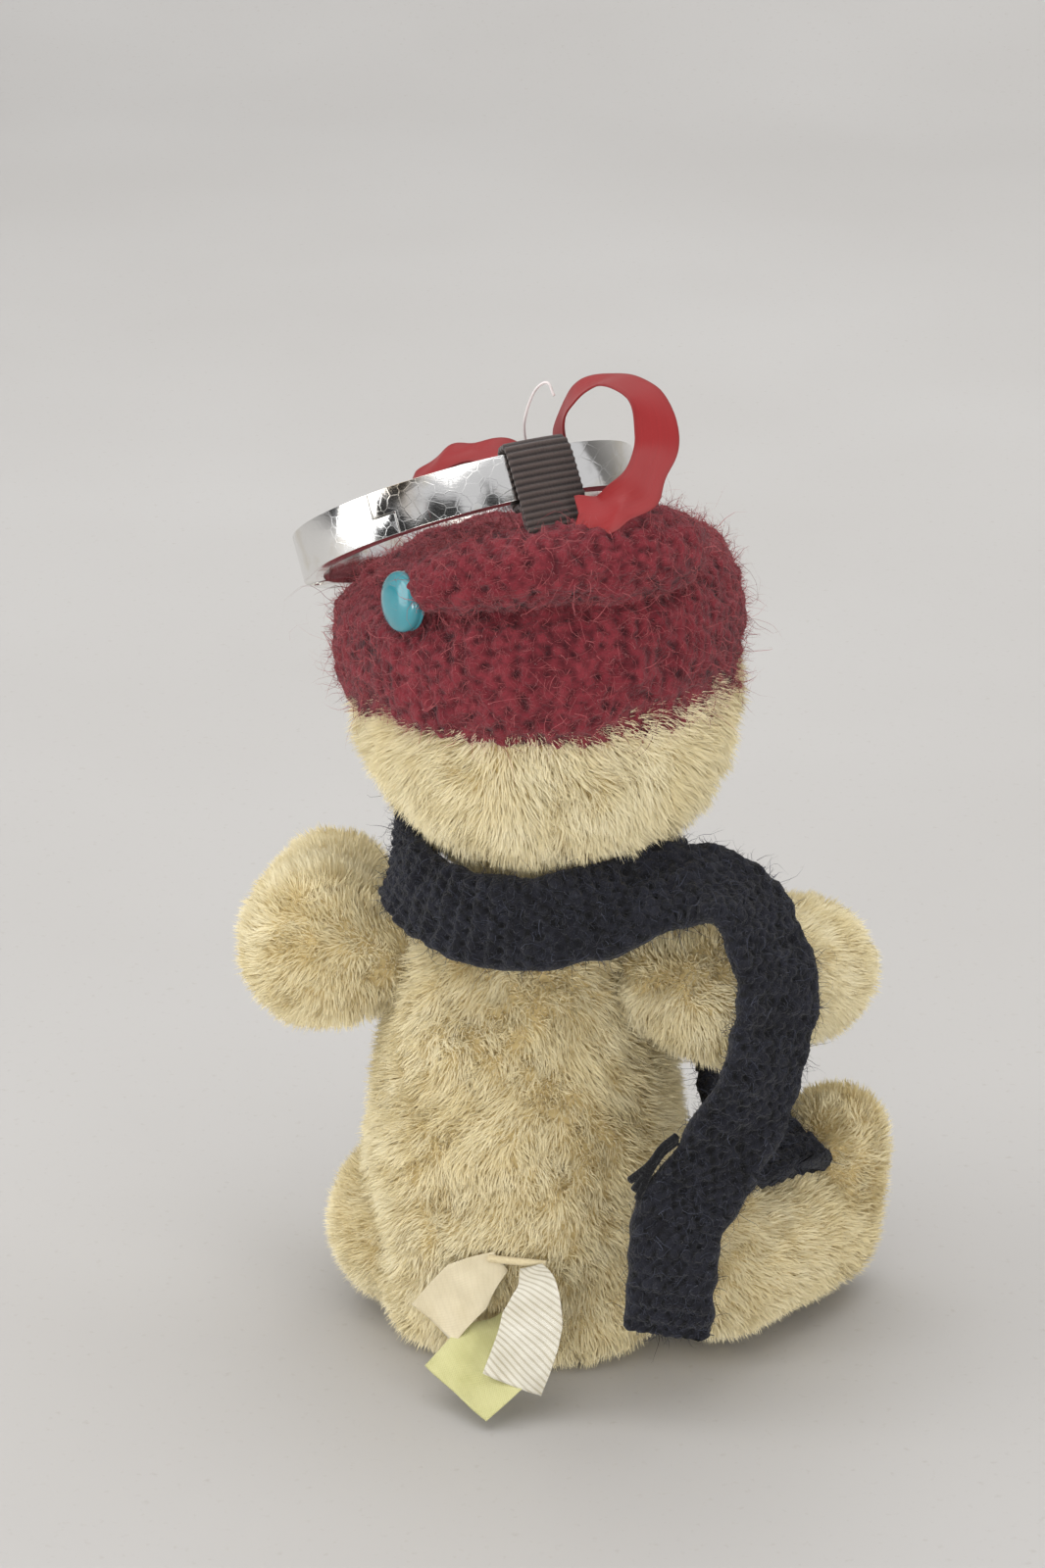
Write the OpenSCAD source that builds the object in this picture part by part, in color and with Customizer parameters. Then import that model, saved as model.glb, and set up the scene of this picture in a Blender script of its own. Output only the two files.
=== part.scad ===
// A small sitting plush animal on a spring gate key ring: disc jointed arms, legs and head,
// a knitted hat, a scarf, a woven strap round the ring and a satin ribbon loop.
// It faces -Y, +Z is up, and the origin is the middle of the flat seat it rests on. Millimetres.

/* [Body] */
// Largest radius of the torso
torso_r = 17; // [16.8:0.1:17.2]
// Height of the torso from the seat to the neck
torso_h = 50; // [49.8:0.1:50.2]
// Thickness of the plush skin
skin = 1.2; // [1:0.1:1.3]
// Radius of the head at its widest
head_r = 19.6; // [19.4:0.1:19.7]

/* [Limbs] */
// Radius of an arm at the shoulder
arm_r = 8.8; // [8.6:0.1:8.9]
// Radius of a leg at the hip
leg_r = 9.7; // [9.5:0.1:9.8]
// Radius of a foot
foot_r = 6.5; // [6.3:0.1:6.6]
// Radius of a joint's shank
shank_r = 1.2; // [1:0.1:1.3]

/* [Key ring] */
// Middle radius of the ring's band
ring_r = 16.5; // [16.4:0.1:16.6]
// Thickness of the band, measured along the radius
band_t = 2; // [1.8:0.1:2]
// Width of the band, measured along the ring's axis
band_w = 4.6; // [4.4:0.1:4.6]
// Radius of the gate's hinge pin
pin_r = 0.5; // [0.4:0.05:0.5]

/* [Woven goods] */
// Width of the scarf
scarf_w = 9.4; // [9:0.1:9.6]
// Thickness of the scarf
scarf_t = 2.4; // [2:0.1:2.6]
// Width of the strap round the ring, as an angle of the ring
strap_angle = 22; // [20:1:22]
// Width of the satin ribbon
ribbon_w = 4.4; // [4.2:0.1:4.6]

/* [Hidden] */
$fn = 64;
gap = 0.1;           // between a skin and what it holds
socket_gap = 0.35;   // between a limb and the torso
press = 0.05;        // between pieces that are pressed together
neck = [-2, 0, torso_h];
head_c = [-2, 0, 70.5];
head_top = 14.8;     // rise of the head above its widest level
head_flat = 51.2;    // level of the head's flat underside
shoulders = [[21.3, 2, 41], [-21.3, 2, 40.5]];
paws = [[24.5, -13.5, 41], [-27, -12, 37.5]];
paw_r = [6.9, 7.8];
hips = [[12.2, 0, 9.9], [-20, 0, 9.9]];
ankles = [[13.7, -13, 7], [-29, -13, 7.2]];
toes = [[14.2, -15, 16.5], [-30.2, -14.5, 17]];
// The torso's outline, as a share of its height and of its radius
torso_shape = [[0, 0.65], [0.08, 0.87], [0.2, 0.98], [0.32, 1], [0.5, 0.96], [0.68, 0.87],
    [0.84, 0.76], [0.94, 0.6], [1, 0.46]];
// The ring's frame: its centre, the tilt away from level, and what lies where round it
ring_c = [5.8, 1.5, 88.6];
ring_tilt = [20, 21.5, 0];
pin_at = 8;
nose_at = 88;
strap_at = 136;
knuckle_r = band_t / 2 - 0.04;
nose_near = 19.4;    // reach of the gate's upper half from its pin
nose_far = 21.3;     // reach of its lower half
lug_z = 0.95;        // half the slot that the gate's tongue turns in
flex_z = -8;         // level of the strap's fold, below the ring's middle
brim_c = [-2, 0, 73.2];
brim_tilt = [-2, 9, 0];
button_c = [9.2, 17.6, 83.4];
button_turn = [-84, 0, -42];
face_y = -18.6;      // level of the face where the eyes sit
muzzle_c = [-2, -16.6, 63];
nose_c = [-2, -23.4, 66];

function unit(v) = v / norm(v);
function arc(c, r, from, to, n) = [for (i = [0:n]) let (a = from + (to - from) * i / n)
    [c[0] + r * cos(a), c[1] + r * sin(a)]];
// A smooth curve through hand-set points: the place at t of span i
function curve(p, i, t) = let (n = len(p) - 1,
        a = p[max(i - 1, 0)], b = p[i], c = p[min(i + 1, n)], d = p[min(i + 2, n)])
    0.5 * (2 * b + (c - a) * t + (2 * a - 5 * b + 4 * c - d) * t * t
        + (3 * b - a - 3 * c + d) * t * t * t);
function smooth(p, steps) = [for (i = [0:len(p) - 2], k = [0:steps - 1]) curve(p, i, k / steps),
    p[len(p) - 1]];

// A flat strip of cloth along hand-set points, with its face turned to the normals
module strip(points, normals, width, thick, steps = 4) {
    p = smooth(points, steps);
    n = smooth(normals, steps);
    last = len(p) - 1;
    rings = [for (i = [0:last]) let (
            along = unit(p[min(i + 1, last)] - p[max(i - 1, 0)]),
            across = unit(cross(along, n[i])),
            out = cross(across, along))
        each [for (c = [[1, 1], [-1, 1], [-1, -1], [1, -1]])
            p[i] + across * c[0] * width / 2 + out * c[1] * thick / 2]];
    sides = [for (i = [0:last - 1], k = [0:3]) let (a = 4 * i + k, b = 4 * i + (k + 1) % 4)
        each [[a, b, a + 4], [b, b + 4, a + 4]]];
    e = 4 * last;
    polyhedron(rings, concat(sides, [[0, 2, 1], [0, 3, 2], [e, e + 1, e + 2], [e, e + 2, e + 3]]));
}

// A round limb with ball ends, from one centre to another
module limb(from, to, r_from, r_to) {
    d = to - from;
    lean = asin((r_from - r_to) / norm(d));
    translate(from) rotate([0, acos(d[2] / norm(d)), atan2(d[1], d[0])])
        rotate_extrude() polygon(concat(arc([0, 0], r_from, -90, lean, 9),
            arc([0, norm(d)], r_to, lean, 90, 8)));
}

module along_x(at, r, from, to) {
    translate([min(from, to), at[1], at[2]]) rotate([0, 90, 0]) cylinder(r = r, h = abs(to - from));
}

// ---- torso ----

module torso_form(inset) {
    rotate_extrude() polygon(concat([[0, inset]],
        [for (s = torso_shape) [s[1] * torso_r - inset,
            min(max(s[0] * torso_h, inset), torso_h - inset)]],
        [[0, torso_h - inset]]));
}

// What the left leg sweeps as it turns about its hip: its distance from the hip's axis, and X
leg_sweep = [[4.4, 3.2], [9, 4.5], [13.9, 6.5], [16.4, 7.2], [19.4, 8], [21.9, 9.8], [23.2, 12.7]];
// The same for the left arm
arm_sweep = [[5.6, 13.3], [9, 13.1], [14, 14.8], [21, 16.8]];

module sockets(grow) {
    for (s = shoulders) translate(s) sphere(r = arm_r + socket_gap + grow);
    for (h = hips) translate(h) sphere(r = leg_r + socket_gap + grow);
    translate([0, hips[0][1], hips[0][2]]) rotate([0, 90, 0])
        rotate_extrude(angle = 240, start = 190) polygon(concat(
            [[0, hips[0][0] - 6]], [for (s = leg_sweep) [s[0] + grow, s[1] - grow]],
            [[23.2 + grow, 30], [0, 30]]));
    translate([0, shoulders[0][1], shoulders[0][2]]) rotate([0, 90, 0])
        rotate_extrude(angle = 180, start = 180) polygon(concat([[0, shoulders[0][0] - 7]],
            [for (s = arm_sweep) [s[0] + grow, s[1] - grow]], [[21 + grow, 40], [0, 40]]));
}

// Where a limb's shank passes, from its disc to its washer's far side
function side(k) = k == 0 ? 1 : -1;
function arm_disc_x(k) = side(k) * (abs(shoulders[k][0]) - 5.6);
function arm_washer_x(k) = side(k) * 7.8;
function leg_disc_x(k) = hips[k][0] - side(k) * 6.6;
function leg_washer_x(k) = hips[k][0] - side(k) * 13.2;
disc_t = 1;

module shank_ways(grow) {
    for (k = [0, 1]) {
        along_x(shoulders[k], shank_r + grow, arm_disc_x(k), arm_washer_x(k) - side(k) * 1.3);
        along_x(hips[k], shank_r + grow, leg_disc_x(k), leg_washer_x(k) - side(k) * 1.3);
    }
    translate([neck[0], neck[1], torso_h - 6.5]) cylinder(r = shank_r + grow, h = 10);
}

module torso_skin() color([0.78, 0.72, 0.55]) difference() {
    torso_form(0);
    sockets(0);
    difference() {
        torso_form(skin);
        sockets(skin);
    }
    shank_ways(0.3);
}

module torso_stuffing() color([0.95, 0.95, 0.93]) difference() {
    torso_form(skin + gap);
    sockets(skin + gap);
    shank_ways(0.4);
    for (k = [0, 1]) {
        along_x(shoulders[k], 4.3, arm_washer_x(k) + side(k) * 2.4, arm_washer_x(k) - side(k) * 1.3);
        along_x(hips[k], 4.3, leg_washer_x(k) + side(k) * 2.4, leg_washer_x(k) - side(k) * 1.3);
    }
    translate([neck[0], neck[1], torso_h - 4.4]) cylinder(r = 4.3, h = 4);
}

// ---- scarf and sewn labels ----

collar = [[12.8, 47.2], [13.6, 47.4], [14.4, 49], [15.6, 51.4], [15.9, 54], [14.4, 55.4], [13, 54.6],
    [12.6, 52]];
tail_back = [[-12.2, 8.2, 51], [-18, 9, 53.2], [-25, 9.4, 51.2], [-29, 11.5, 43.5],
    [-27.8, 14, 34.5], [-23.6, 16.8, 27.6], [-20.6, 19.4, 21], [-19.6, 20.6, 15], [-19.2, 21.2, 8.8]];
tail_back_out = [[0, 0.3, 1], [0, 0.4, 1], [-0.8, 0.6, 0.7], [-0.8, 1, 0.2], [-0.5, 1, -0.1],
    [-0.3, 1, 0.2], [-0.1, 1, 0.1], [0, 1, 0.1], [0, 1, 0]];
tail_front = [[-9, -10.6, 50.5], [-12, -15.5, 47], [-13.2, -19, 39], [-14.2, -19.2, 30],
    [-18.4, -12.6, 23.8], [-23, -5.8, 21.8], [-28, 0.2, 20.4]];
tail_front_out = [[-0.2, -1, 0.6], [-0.2, -1, 0.5], [-0.1, -1, 0.1], [-0.2, -1, 0.2], [-0.3, -0.8, 1],
    [-0.1, -0.1, 1], [0, 0.1, 1]];

module scarf() color([0.14, 0.145, 0.2]) union() {
    translate([neck[0], 0, 0]) rotate_extrude() polygon(collar);
    strip(tail_back, tail_back_out, scarf_w, scarf_t, 3);
    strip(tail_front, tail_front_out, scarf_w * 0.94, scarf_t, 3);
}

module label_satin() color([0.84, 0.8, 0.69])
    strip([[-0.9, 17.7, 12.9], [1.3, 18.4, 11.6], [3.7, 18.9, 9], [5.5, 19.2, 6.6]],
        [[0, 1, 0.2], [0, 1, 0.2], [0, 1, 0.2], [0, 1, 0.2]], 6, 0.25);

module label_care() color([0.9, 0.89, 0.86])
    strip([[-4.5, 18.6, 13.4], [-5.5, 20.6, 11.6], [-5.1, 22.4, 7.4], [-3.7, 23.6, 2.6]],
        [[0, 1, 0.8], [0, 1, 0.6], [0, 1, 0.4], [0, 1, 0.3]], 6.4, 0.25);

module label_fold() color([0.75, 0.73, 0.49])
    strip([[-3.2, 17.5, 6.2], [-2.4, 19.3, 4.8], [-0.4, 21.9, 3], [2, 24.6, 1.2]],
        [[0, 1, 0.8], [0, 1, 0.9], [0, 0.8, 1], [0, 0.7, 1]], 8.6, 0.3);

module label_stitch() color([0.7, 0.66, 0.55]) translate([-2.9, 17.5, 14.8]) rotate([0, 90, 0])
    cylinder(r = 0.4, h = 6, center = true);

// ---- head ----

module head_form(grow, top = head_top) {
    r = head_r + grow;
    translate([head_c[0], head_c[1], 0]) rotate_extrude() polygon(concat(
        [[0, head_flat - grow]],
        [for (i = [0:22]) let (a = -74 + 164 * i / 22)
            [r * cos(a), head_c[2] + (a < 0 ? r : top + grow) * sin(a)]]));
}

module eye_ways(grow) {
    for (s = [-1, 1]) translate([head_c[0] + s * 6.2, face_y, 70]) {
        rotate([-90, 0, 0]) cylinder(r = 0.8 + grow, h = 5);
        sphere(r = 1.9 + grow);
    }
}

module eye_washer_ways(grow) {
    for (s = [-1, 1]) translate([head_c[0] + s * 6.2, face_y + 4.2, 70]) rotate([90, 0, 0])
        cylinder(r = 2.2 + grow, h = 1.6);
}

module head_skin() color([0.8, 0.74, 0.58]) difference() {
    head_form(0);
    head_form(-skin);
    eye_ways(press);
    translate([neck[0], 0, torso_h]) cylinder(r = shank_r + 0.1, h = 4);
    translate([nose_c[0], nose_c[1] + 12, nose_c[2]]) rotate([90, 0, 0]) cylinder(r = 0.9, h = 12);
}

module head_stuffing() color([0.95, 0.95, 0.93]) difference() {
    head_form(-skin - gap);
    eye_ways(gap);
    eye_washer_ways(gap);
    translate([neck[0], 0, torso_h]) cylinder(r = 5.4, h = 4.2);
    translate([nose_c[0], nose_c[1] + 12, nose_c[2]]) rotate([90, 0, 0]) cylinder(r = 1, h = 12);
    translate([nose_c[0], nose_c[1] + 12, nose_c[2]]) rotate([90, 0, 0]) cylinder(r = 2.6, h = 3);
}

module muzzle() color([0.84, 0.79, 0.64]) difference() {
    translate(muzzle_c) sphere(r = 7.4);
    head_form(press);
    translate([nose_c[0], nose_c[1] + 12, nose_c[2]]) rotate([90, 0, 0]) cylinder(r = 0.9, h = 12);
    translate(nose_c) sphere(r = 2.2 + press);
}

module nose() color([0.16, 0.11, 0.09]) union() {
    translate(nose_c) sphere(r = 2.2);
    translate([nose_c[0], nose_c[1] + 11.6, nose_c[2]]) rotate([90, 0, 0]) cylinder(r = 0.8, h = 11);
}

module nose_washer() color([0.9, 0.9, 0.88])
    translate([nose_c[0], nose_c[1] + 11.2, nose_c[2]]) rotate([90, 0, 0]) difference() {
        cylinder(r = 2.4, h = 1);
        translate([0, 0, -1]) cylinder(r = 0.82, h = 3);
    }

module mouth_stitch() color([0.2, 0.13, 0.1])
    translate([muzzle_c[0], muzzle_c[1], muzzle_c[2]]) rotate([0, 90, 0])
        rotate_extrude(angle = 26, start = 268) translate([7.75, 0]) circle(r = 0.3, $fn = 24);

module eye(s) color([0.05, 0.04, 0.04]) translate([head_c[0] + s * 6.2, face_y, 70]) union() {
    difference() {
        sphere(r = 1.9);
        translate([-3, -0.1, -3]) cube([6, 6, 6]);
    }
    rotate([-90, 0, 0]) translate([0, 0, -0.5]) cylinder(r = 0.8, h = 5);
}

module eye_washer(s) color([0.9, 0.9, 0.88])
    translate([head_c[0] + s * 6.2, face_y + 4, 70]) rotate([90, 0, 0]) difference() {
        cylinder(r = 2.2, h = 1);
        translate([0, 0, -1]) cylinder(r = 0.82, h = 3);
    }

module neck_disc() color([0.92, 0.9, 0.85]) union() {
    translate([neck[0], 0, head_flat + skin + 0.55]) cylinder(r = 5, h = disc_t);
    translate([neck[0], 0, torso_h - 6]) cylinder(r = shank_r, h = 9.4);
}

module neck_washer() color([0.75, 0.76, 0.78]) difference() {
    translate([neck[0], 0, torso_h - 2.6]) cylinder(r = 4, h = 1);
    translate([neck[0], 0, torso_h - 8]) cylinder(r = shank_r + 0.02, h = 9);
}

// ---- hat ----

// Room in the hat for the ring, which lies on it at rest, and for the strap's stem and its stitches
module strap_way() on_ring() {
    rotate_extrude() translate([ring_r - band_t / 2 - 0.6, -band_w / 2 - 0.6]) square([band_t + 1.2, 20]);
    rotate_extrude(angle = 110, start = pin_at - 10) translate([6, -band_w / 2 - 0.6]) square([12, 20]);
    rotate_extrude(angle = strap_angle + 6, start = strap_at - strap_angle / 2 - 3)
        translate([strap_in - 1.2, -band_w / 2 - 2]) square([strap_out - strap_in + 2.4, 20]);
    rotate([0, 0, strap_at]) translate([strap_out - 0.3, 0, flex_z - 0.8]) rotate([90, 0, 0])
        cylinder(r = 0.6 + press, h = 5.2, center = true);
    rotate([0, 0, strap_at]) translate([strap_out - 0.3, 0, flex_z + 0.6]) rotate([90, 0, 0]) {
        cylinder(r = 1.6, h = 8, center = true);
        rotate_extrude(angle = 112, start = 14) translate([0, -4]) square([11.6, 8]);
    }
}

module below_brim() translate(brim_c) rotate(brim_tilt) translate([-40, -40, -40]) cube([80, 80, 40]);

module hat() color([0.51, 0.16, 0.22]) difference() {
    union() {
        head_form(1.5);
        translate(brim_c) rotate(brim_tilt) rotate_extrude() polygon(concat([[16.4, 0]],
            arc([18.3, 2.6], 2.4, -60, 20, 4), arc([17.4, 7.8], 3, 10, 90, 4), [[16.4, 10.8]]));
        limb([8.6, 13.2, 85.2], [-15, 10.8, 87.4], 4.5, 4.8);
    }
    head_form(0.12);
    below_brim();
    translate(button_c) rotate(button_turn) translate([0, 0, -1.4]) cylinder(r = 1.5, h = 1.5);
    translate(button_c) rotate(button_turn) cylinder(r = 3.6, h = 8);
    strap_way();
}

module hat_button() color([0.27, 0.55, 0.63]) translate(button_c) rotate(button_turn) union() {
    difference() {
        translate([0, 0, -2.4]) sphere(r = 4.2);
        translate([-6, -6, -11.95]) cube([12, 12, 12]);
    }
    translate([0, 0, -1.2]) cylinder(r = 0.9, h = 1.6);
}

module button_thread() color([0.2, 0.35, 0.4]) translate(button_c) rotate(button_turn)
    translate([0, 0, -0.7]) difference() {
        cylinder(r = 1.4, h = 0.6);
        translate([0, 0, -1]) cylinder(r = 0.92, h = 3);
    }

// ---- key ring, in its own frame: the ring's axis is Z and angles run from +X ----

module on_ring() translate(ring_c) rotate(ring_tilt) children();

module at_angle(a) rotate([0, 0, a]) translate([ring_r, 0, 0]) children();

module band(from, to, w = band_w) rotate_extrude(angle = to - from, start = from)
    translate([ring_r - band_t / 2, -w / 2]) square([band_t, w]);

// What the gate's stepped nose reaches, from its pin
module nose_reach(grow) at_angle(pin_at) {
    translate([0, 0, -0.3 + grow]) mirror([0, 0, 1]) cylinder(r = nose_far + grow, h = 6);
    translate([0, 0, -0.3 - 0.1]) cylinder(r = nose_near + grow, h = 6);
}

module ring_frame() color([0.8, 0.8, 0.82]) on_ring() difference() {
    union() {
        band(nose_at + 8, 360 + pin_at - 4.4);
        difference() {
            band(nose_at - 12, nose_at + 8.4);
            nose_reach(0.14);
        }
        for (z = [lug_z, -band_w / 2]) translate([0, 0, z + (band_w / 2 - lug_z) / 2]) {
            band(pin_at - 5, pin_at, band_w / 2 - lug_z);
            at_angle(pin_at) cylinder(r = knuckle_r, h = band_w / 2 - lug_z, center = true);
        }
    }
    at_angle(pin_at) cylinder(r = pin_r, h = 8, center = true);
}

module gate() color([0.82, 0.82, 0.84]) on_ring() difference() {
    union() {
        intersection() {
            band(pin_at + 4.6, nose_at + 8);
            nose_reach(0);
        }
        translate([0, 0, -0.35]) band(pin_at, pin_at + 5, 0.9);
        at_angle(pin_at) translate([0, 0, -0.8]) cylinder(r = knuckle_r, h = 0.9);
    }
    at_angle(pin_at) cylinder(r = pin_r + 0.04, h = 8, center = true);
}

module gate_pin() color([0.7, 0.7, 0.72]) on_ring() at_angle(pin_at)
    cylinder(r = pin_r, h = band_w - 0.1, center = true);

module gate_spring() color([0.6, 0.6, 0.62]) on_ring() at_angle(pin_at)
    translate([0, 0, 0.3]) difference() {
        cylinder(r = 0.88, h = 0.45);
        translate([0, 0, -1]) cylinder(r = pin_r + 0.05, h = 3);
        translate([0, -0.25, -1]) cube([2, 0.5, 3]);
    }

// ---- strap and ribbon ----

module strap_part(from_r, to_r, from_z, to_z)
    rotate_extrude(angle = strap_angle, start = strap_at - strap_angle / 2)
        translate([from_r, from_z]) square([to_r - from_r, to_z - from_z]);

strap_in = ring_r - band_t / 2 - 0.15;
strap_out = ring_r + band_t / 2 + 0.15;

module strap() color([0.22, 0.18, 0.165]) on_ring() union() {
    difference() {
        strap_part(strap_in - 0.6, strap_out + 0.6, -band_w / 2 - 0.75, band_w / 2 + 0.75);
        strap_part(strap_in, strap_out, -band_w / 2 - 0.15, band_w / 2 + 0.15);
    }
    strap_part(strap_out - 0.9, strap_out + 0.3, flex_z + 0.6, -band_w / 2 - 0.5);
}

module strap_stitches() color([0.3, 0.12, 0.14]) on_ring() rotate([0, 0, strap_at])
    translate([strap_out - 0.3, 0, flex_z - 0.8]) rotate([90, 0, 0])
        cylinder(r = 0.6, h = 5, center = true);

ribbon = [[-8.2, 15.4, 93.6], [-11.6, 15.8, 94.3], [-14.6, 15.2, 97.2], [-15.8, 13.8, 101.2],
    [-14, 11.6, 104.8], [-10.4, 9.8, 105.6], [-6.6, 8, 103.6], [-5, 6.4, 100.8],
    [-4.4, 4.4, 97.6], [-3.4, 3.8, 95], [-0.6, 3.8, 95.7], [3, 4.2, 96.2], [7.2, 3.8, 95],
    [10.2, 3.6, 92.4], [12, 3, 89.8]];
ribbon_out = [[0.2, 1, 0.6], [0, 1, 0.3], [-0.2, 1, -0.2], [-0.5, 1, 0], [-0.7, 0.5, 0.8],
    [-0.1, 0.1, 1], [0.8, 0.2, 0.6], [1, 0.3, 0.2], [1, 0.6, 0], [0.8, 0.4, 0.8],
    [0, 0.3, 1], [0.1, 0.3, 1], [0.4, 0.3, 1], [0.8, 0.3, 0.8], [1, 0.2, 0.4]];

module ribbon_loop() color([0.72, 0.14, 0.13]) strip(ribbon, ribbon_out, ribbon_w, 0.35, 4);

module tag_fastener() color([0.85, 0.88, 0.9])
    strip([[-1.4, 6.4, 96.8], [-1, 6.2, 99.8], [-2, 6.4, 103], [-3.4, 6.8, 104.2], [-4.2, 7.2, 103]],
        [[0, 1, 0], [0, 1, 0], [0, 1, 0], [0, 1, 0], [0, 1, 0]], 0.5, 0.5);

// ---- arms, 0 the left and 1 the right ----

module arm_form(k, inset)
    limb(shoulders[k], paws[k], arm_r - inset, paw_r[k] - inset);

module arm_skin(k) color([0.8, 0.74, 0.57]) difference() {
    arm_form(k, 0);
    arm_form(k, skin);
    along_x(shoulders[k], shank_r + press, shoulders[k][0] - side(k) * 6, shoulders[k][0] - side(k) * 12);
}

module arm_stuffing(k) color([0.95, 0.95, 0.93]) difference() {
    arm_form(k, skin + gap);
    along_x(shoulders[k], 3.9, arm_disc_x(k) + side(k) * 0.3, shoulders[k][0] - side(k) * 12);
}

module arm_disc(k) color([0.92, 0.9, 0.85]) union() {
    along_x(shoulders[k], 3.6, arm_disc_x(k), arm_disc_x(k) - side(k) * disc_t);
    along_x(shoulders[k], shank_r, arm_disc_x(k), arm_washer_x(k) - side(k) * 1.2);
}

module arm_washer(k) color([0.75, 0.76, 0.78]) difference() {
    along_x(shoulders[k], 3.4, arm_washer_x(k), arm_washer_x(k) - side(k));
    along_x(shoulders[k], shank_r + 0.02, arm_washer_x(k) + side(k), arm_washer_x(k) - side(k) * 3);
}

// ---- legs ----

module leg_form(k, inset) union() {
    limb(hips[k], ankles[k], leg_r - inset, foot_r - inset);
    limb(ankles[k] + [0, -0.6, 0], toes[k], foot_r + 0.1 - inset, foot_r - 0.1 - inset);
}

module leg_skin(k) color([0.8, 0.74, 0.57]) difference() {
    leg_form(k, 0);
    leg_form(k, skin);
    along_x(hips[k], shank_r + press, hips[k][0] - side(k) * 6, hips[k][0] - side(k) * 12);
}

module leg_stuffing(k) color([0.95, 0.95, 0.93]) difference() {
    leg_form(k, skin + gap);
    along_x(hips[k], 4.6, leg_disc_x(k) + side(k) * 0.3, hips[k][0] - side(k) * 12);
}

module leg_disc(k) color([0.92, 0.9, 0.85]) union() {
    along_x(hips[k], 3.6, leg_disc_x(k), leg_disc_x(k) - side(k) * disc_t);
    along_x(hips[k], shank_r, leg_disc_x(k), leg_washer_x(k) - side(k) * 1.2);
}

module leg_washer(k) color([0.75, 0.76, 0.78]) difference() {
    along_x(hips[k], 3.8, leg_washer_x(k), leg_washer_x(k) - side(k));
    along_x(hips[k], shank_r + 0.02, leg_washer_x(k) + side(k), leg_washer_x(k) - side(k) * 3);
}

module sole(k) color([0.76, 0.62, 0.5]) difference() {
    intersection() {
        limb(ankles[k] + [0, -1, 0.4], toes[k] + [0, -0.4, -0.4], foot_r + 0.1, foot_r - 0.1);
        translate(toes[k] + [0, 0, -4.6]) rotate([90, 0, 0]) cylinder(r = 5.4, h = 20);
    }
    leg_form(k, -0.03);
}

torso_skin();
torso_stuffing();
scarf();
label_satin();
label_care();
label_fold();
label_stitch();
head_skin();
head_stuffing();
muzzle();
nose();
nose_washer();
mouth_stitch();
eye(1);  // eye_left
eye(-1);  // eye_right
eye_washer(1);  // eye_washer_left
eye_washer(-1);  // eye_washer_right
neck_disc();
neck_washer();
hat();
hat_button();
button_thread();
strap_stitches();
arm_skin(0);  // arm_skin_left
arm_skin(1);  // arm_skin_right
arm_stuffing(0);  // arm_stuffing_left
arm_stuffing(1);  // arm_stuffing_right
arm_disc(0);  // arm_disc_left
arm_disc(1);  // arm_disc_right
arm_washer(0);  // arm_washer_left
arm_washer(1);  // arm_washer_right
leg_skin(0);  // leg_skin_left
leg_skin(1);  // leg_skin_right
leg_stuffing(0);  // leg_stuffing_left
leg_stuffing(1);  // leg_stuffing_right
leg_disc(0);  // leg_disc_left
leg_disc(1);  // leg_disc_right
leg_washer(0);  // leg_washer_left
leg_washer(1);  // leg_washer_right
sole(0);  // sole_left
sole(1);  // sole_right
strap();
ribbon_loop();
tag_fastener();
ring_frame();
gate();
gate_pin();
gate_spring();
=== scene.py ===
import math
import bpy
import numpy as np
from mathutils import Matrix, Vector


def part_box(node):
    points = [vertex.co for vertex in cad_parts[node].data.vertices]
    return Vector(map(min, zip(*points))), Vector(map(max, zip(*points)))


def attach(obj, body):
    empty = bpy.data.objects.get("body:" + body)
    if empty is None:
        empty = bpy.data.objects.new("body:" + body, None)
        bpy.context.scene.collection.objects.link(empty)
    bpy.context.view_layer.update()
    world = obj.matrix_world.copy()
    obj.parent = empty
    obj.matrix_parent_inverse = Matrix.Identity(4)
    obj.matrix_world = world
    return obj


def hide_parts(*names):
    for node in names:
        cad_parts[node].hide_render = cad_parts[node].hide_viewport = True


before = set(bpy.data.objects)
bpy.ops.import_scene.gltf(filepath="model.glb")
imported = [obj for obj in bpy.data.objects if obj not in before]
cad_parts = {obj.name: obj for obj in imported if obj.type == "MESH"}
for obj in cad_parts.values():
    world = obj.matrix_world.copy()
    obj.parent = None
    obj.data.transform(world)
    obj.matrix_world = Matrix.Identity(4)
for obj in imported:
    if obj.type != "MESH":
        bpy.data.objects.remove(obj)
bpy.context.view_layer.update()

MM = 0.001               # lengths below are in millimetres, and meshes are made in metres
UP = np.array([0.0, 0.0, 1.0])


# ---- vectors, curves and soft noise ----

def unit(v):
    """v, or each row of v, at length 1."""
    v = np.asarray(v, float)
    return v / np.maximum(np.linalg.norm(v, axis=-1, keepdims=True), 1e-9)


def turned(angle, axis):
    """The matrix that turns a column vector by angle degrees about a row axis, 0 to 2."""
    c, s = math.cos(math.radians(angle)), math.sin(math.radians(angle))
    a, b = [k for k in range(3) if k != axis]
    m = np.eye(3)
    m[a, a] = m[b, b] = c
    m[a, b], m[b, a] = (-s, s) if axis != 1 else (s, -s)
    return m


def smooth_path(points, steps):
    """A curve through given points, steps places to each span."""
    p = np.asarray(points, float)
    ends = np.vstack([2 * p[0] - p[1], p, 2 * p[-1] - p[-2]])
    out = []
    for i in range(len(p) - 1):
        a, b, c, d = ends[i:i + 4]
        for t in np.arange(steps) / steps:
            out.append(0.5 * (2 * b + (c - a) * t + (2 * a - 5 * b + 4 * c - d) * t * t
                              + (3 * b - a - 3 * c + d) * t ** 3))
    return np.array(out + [p[-1]])


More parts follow.
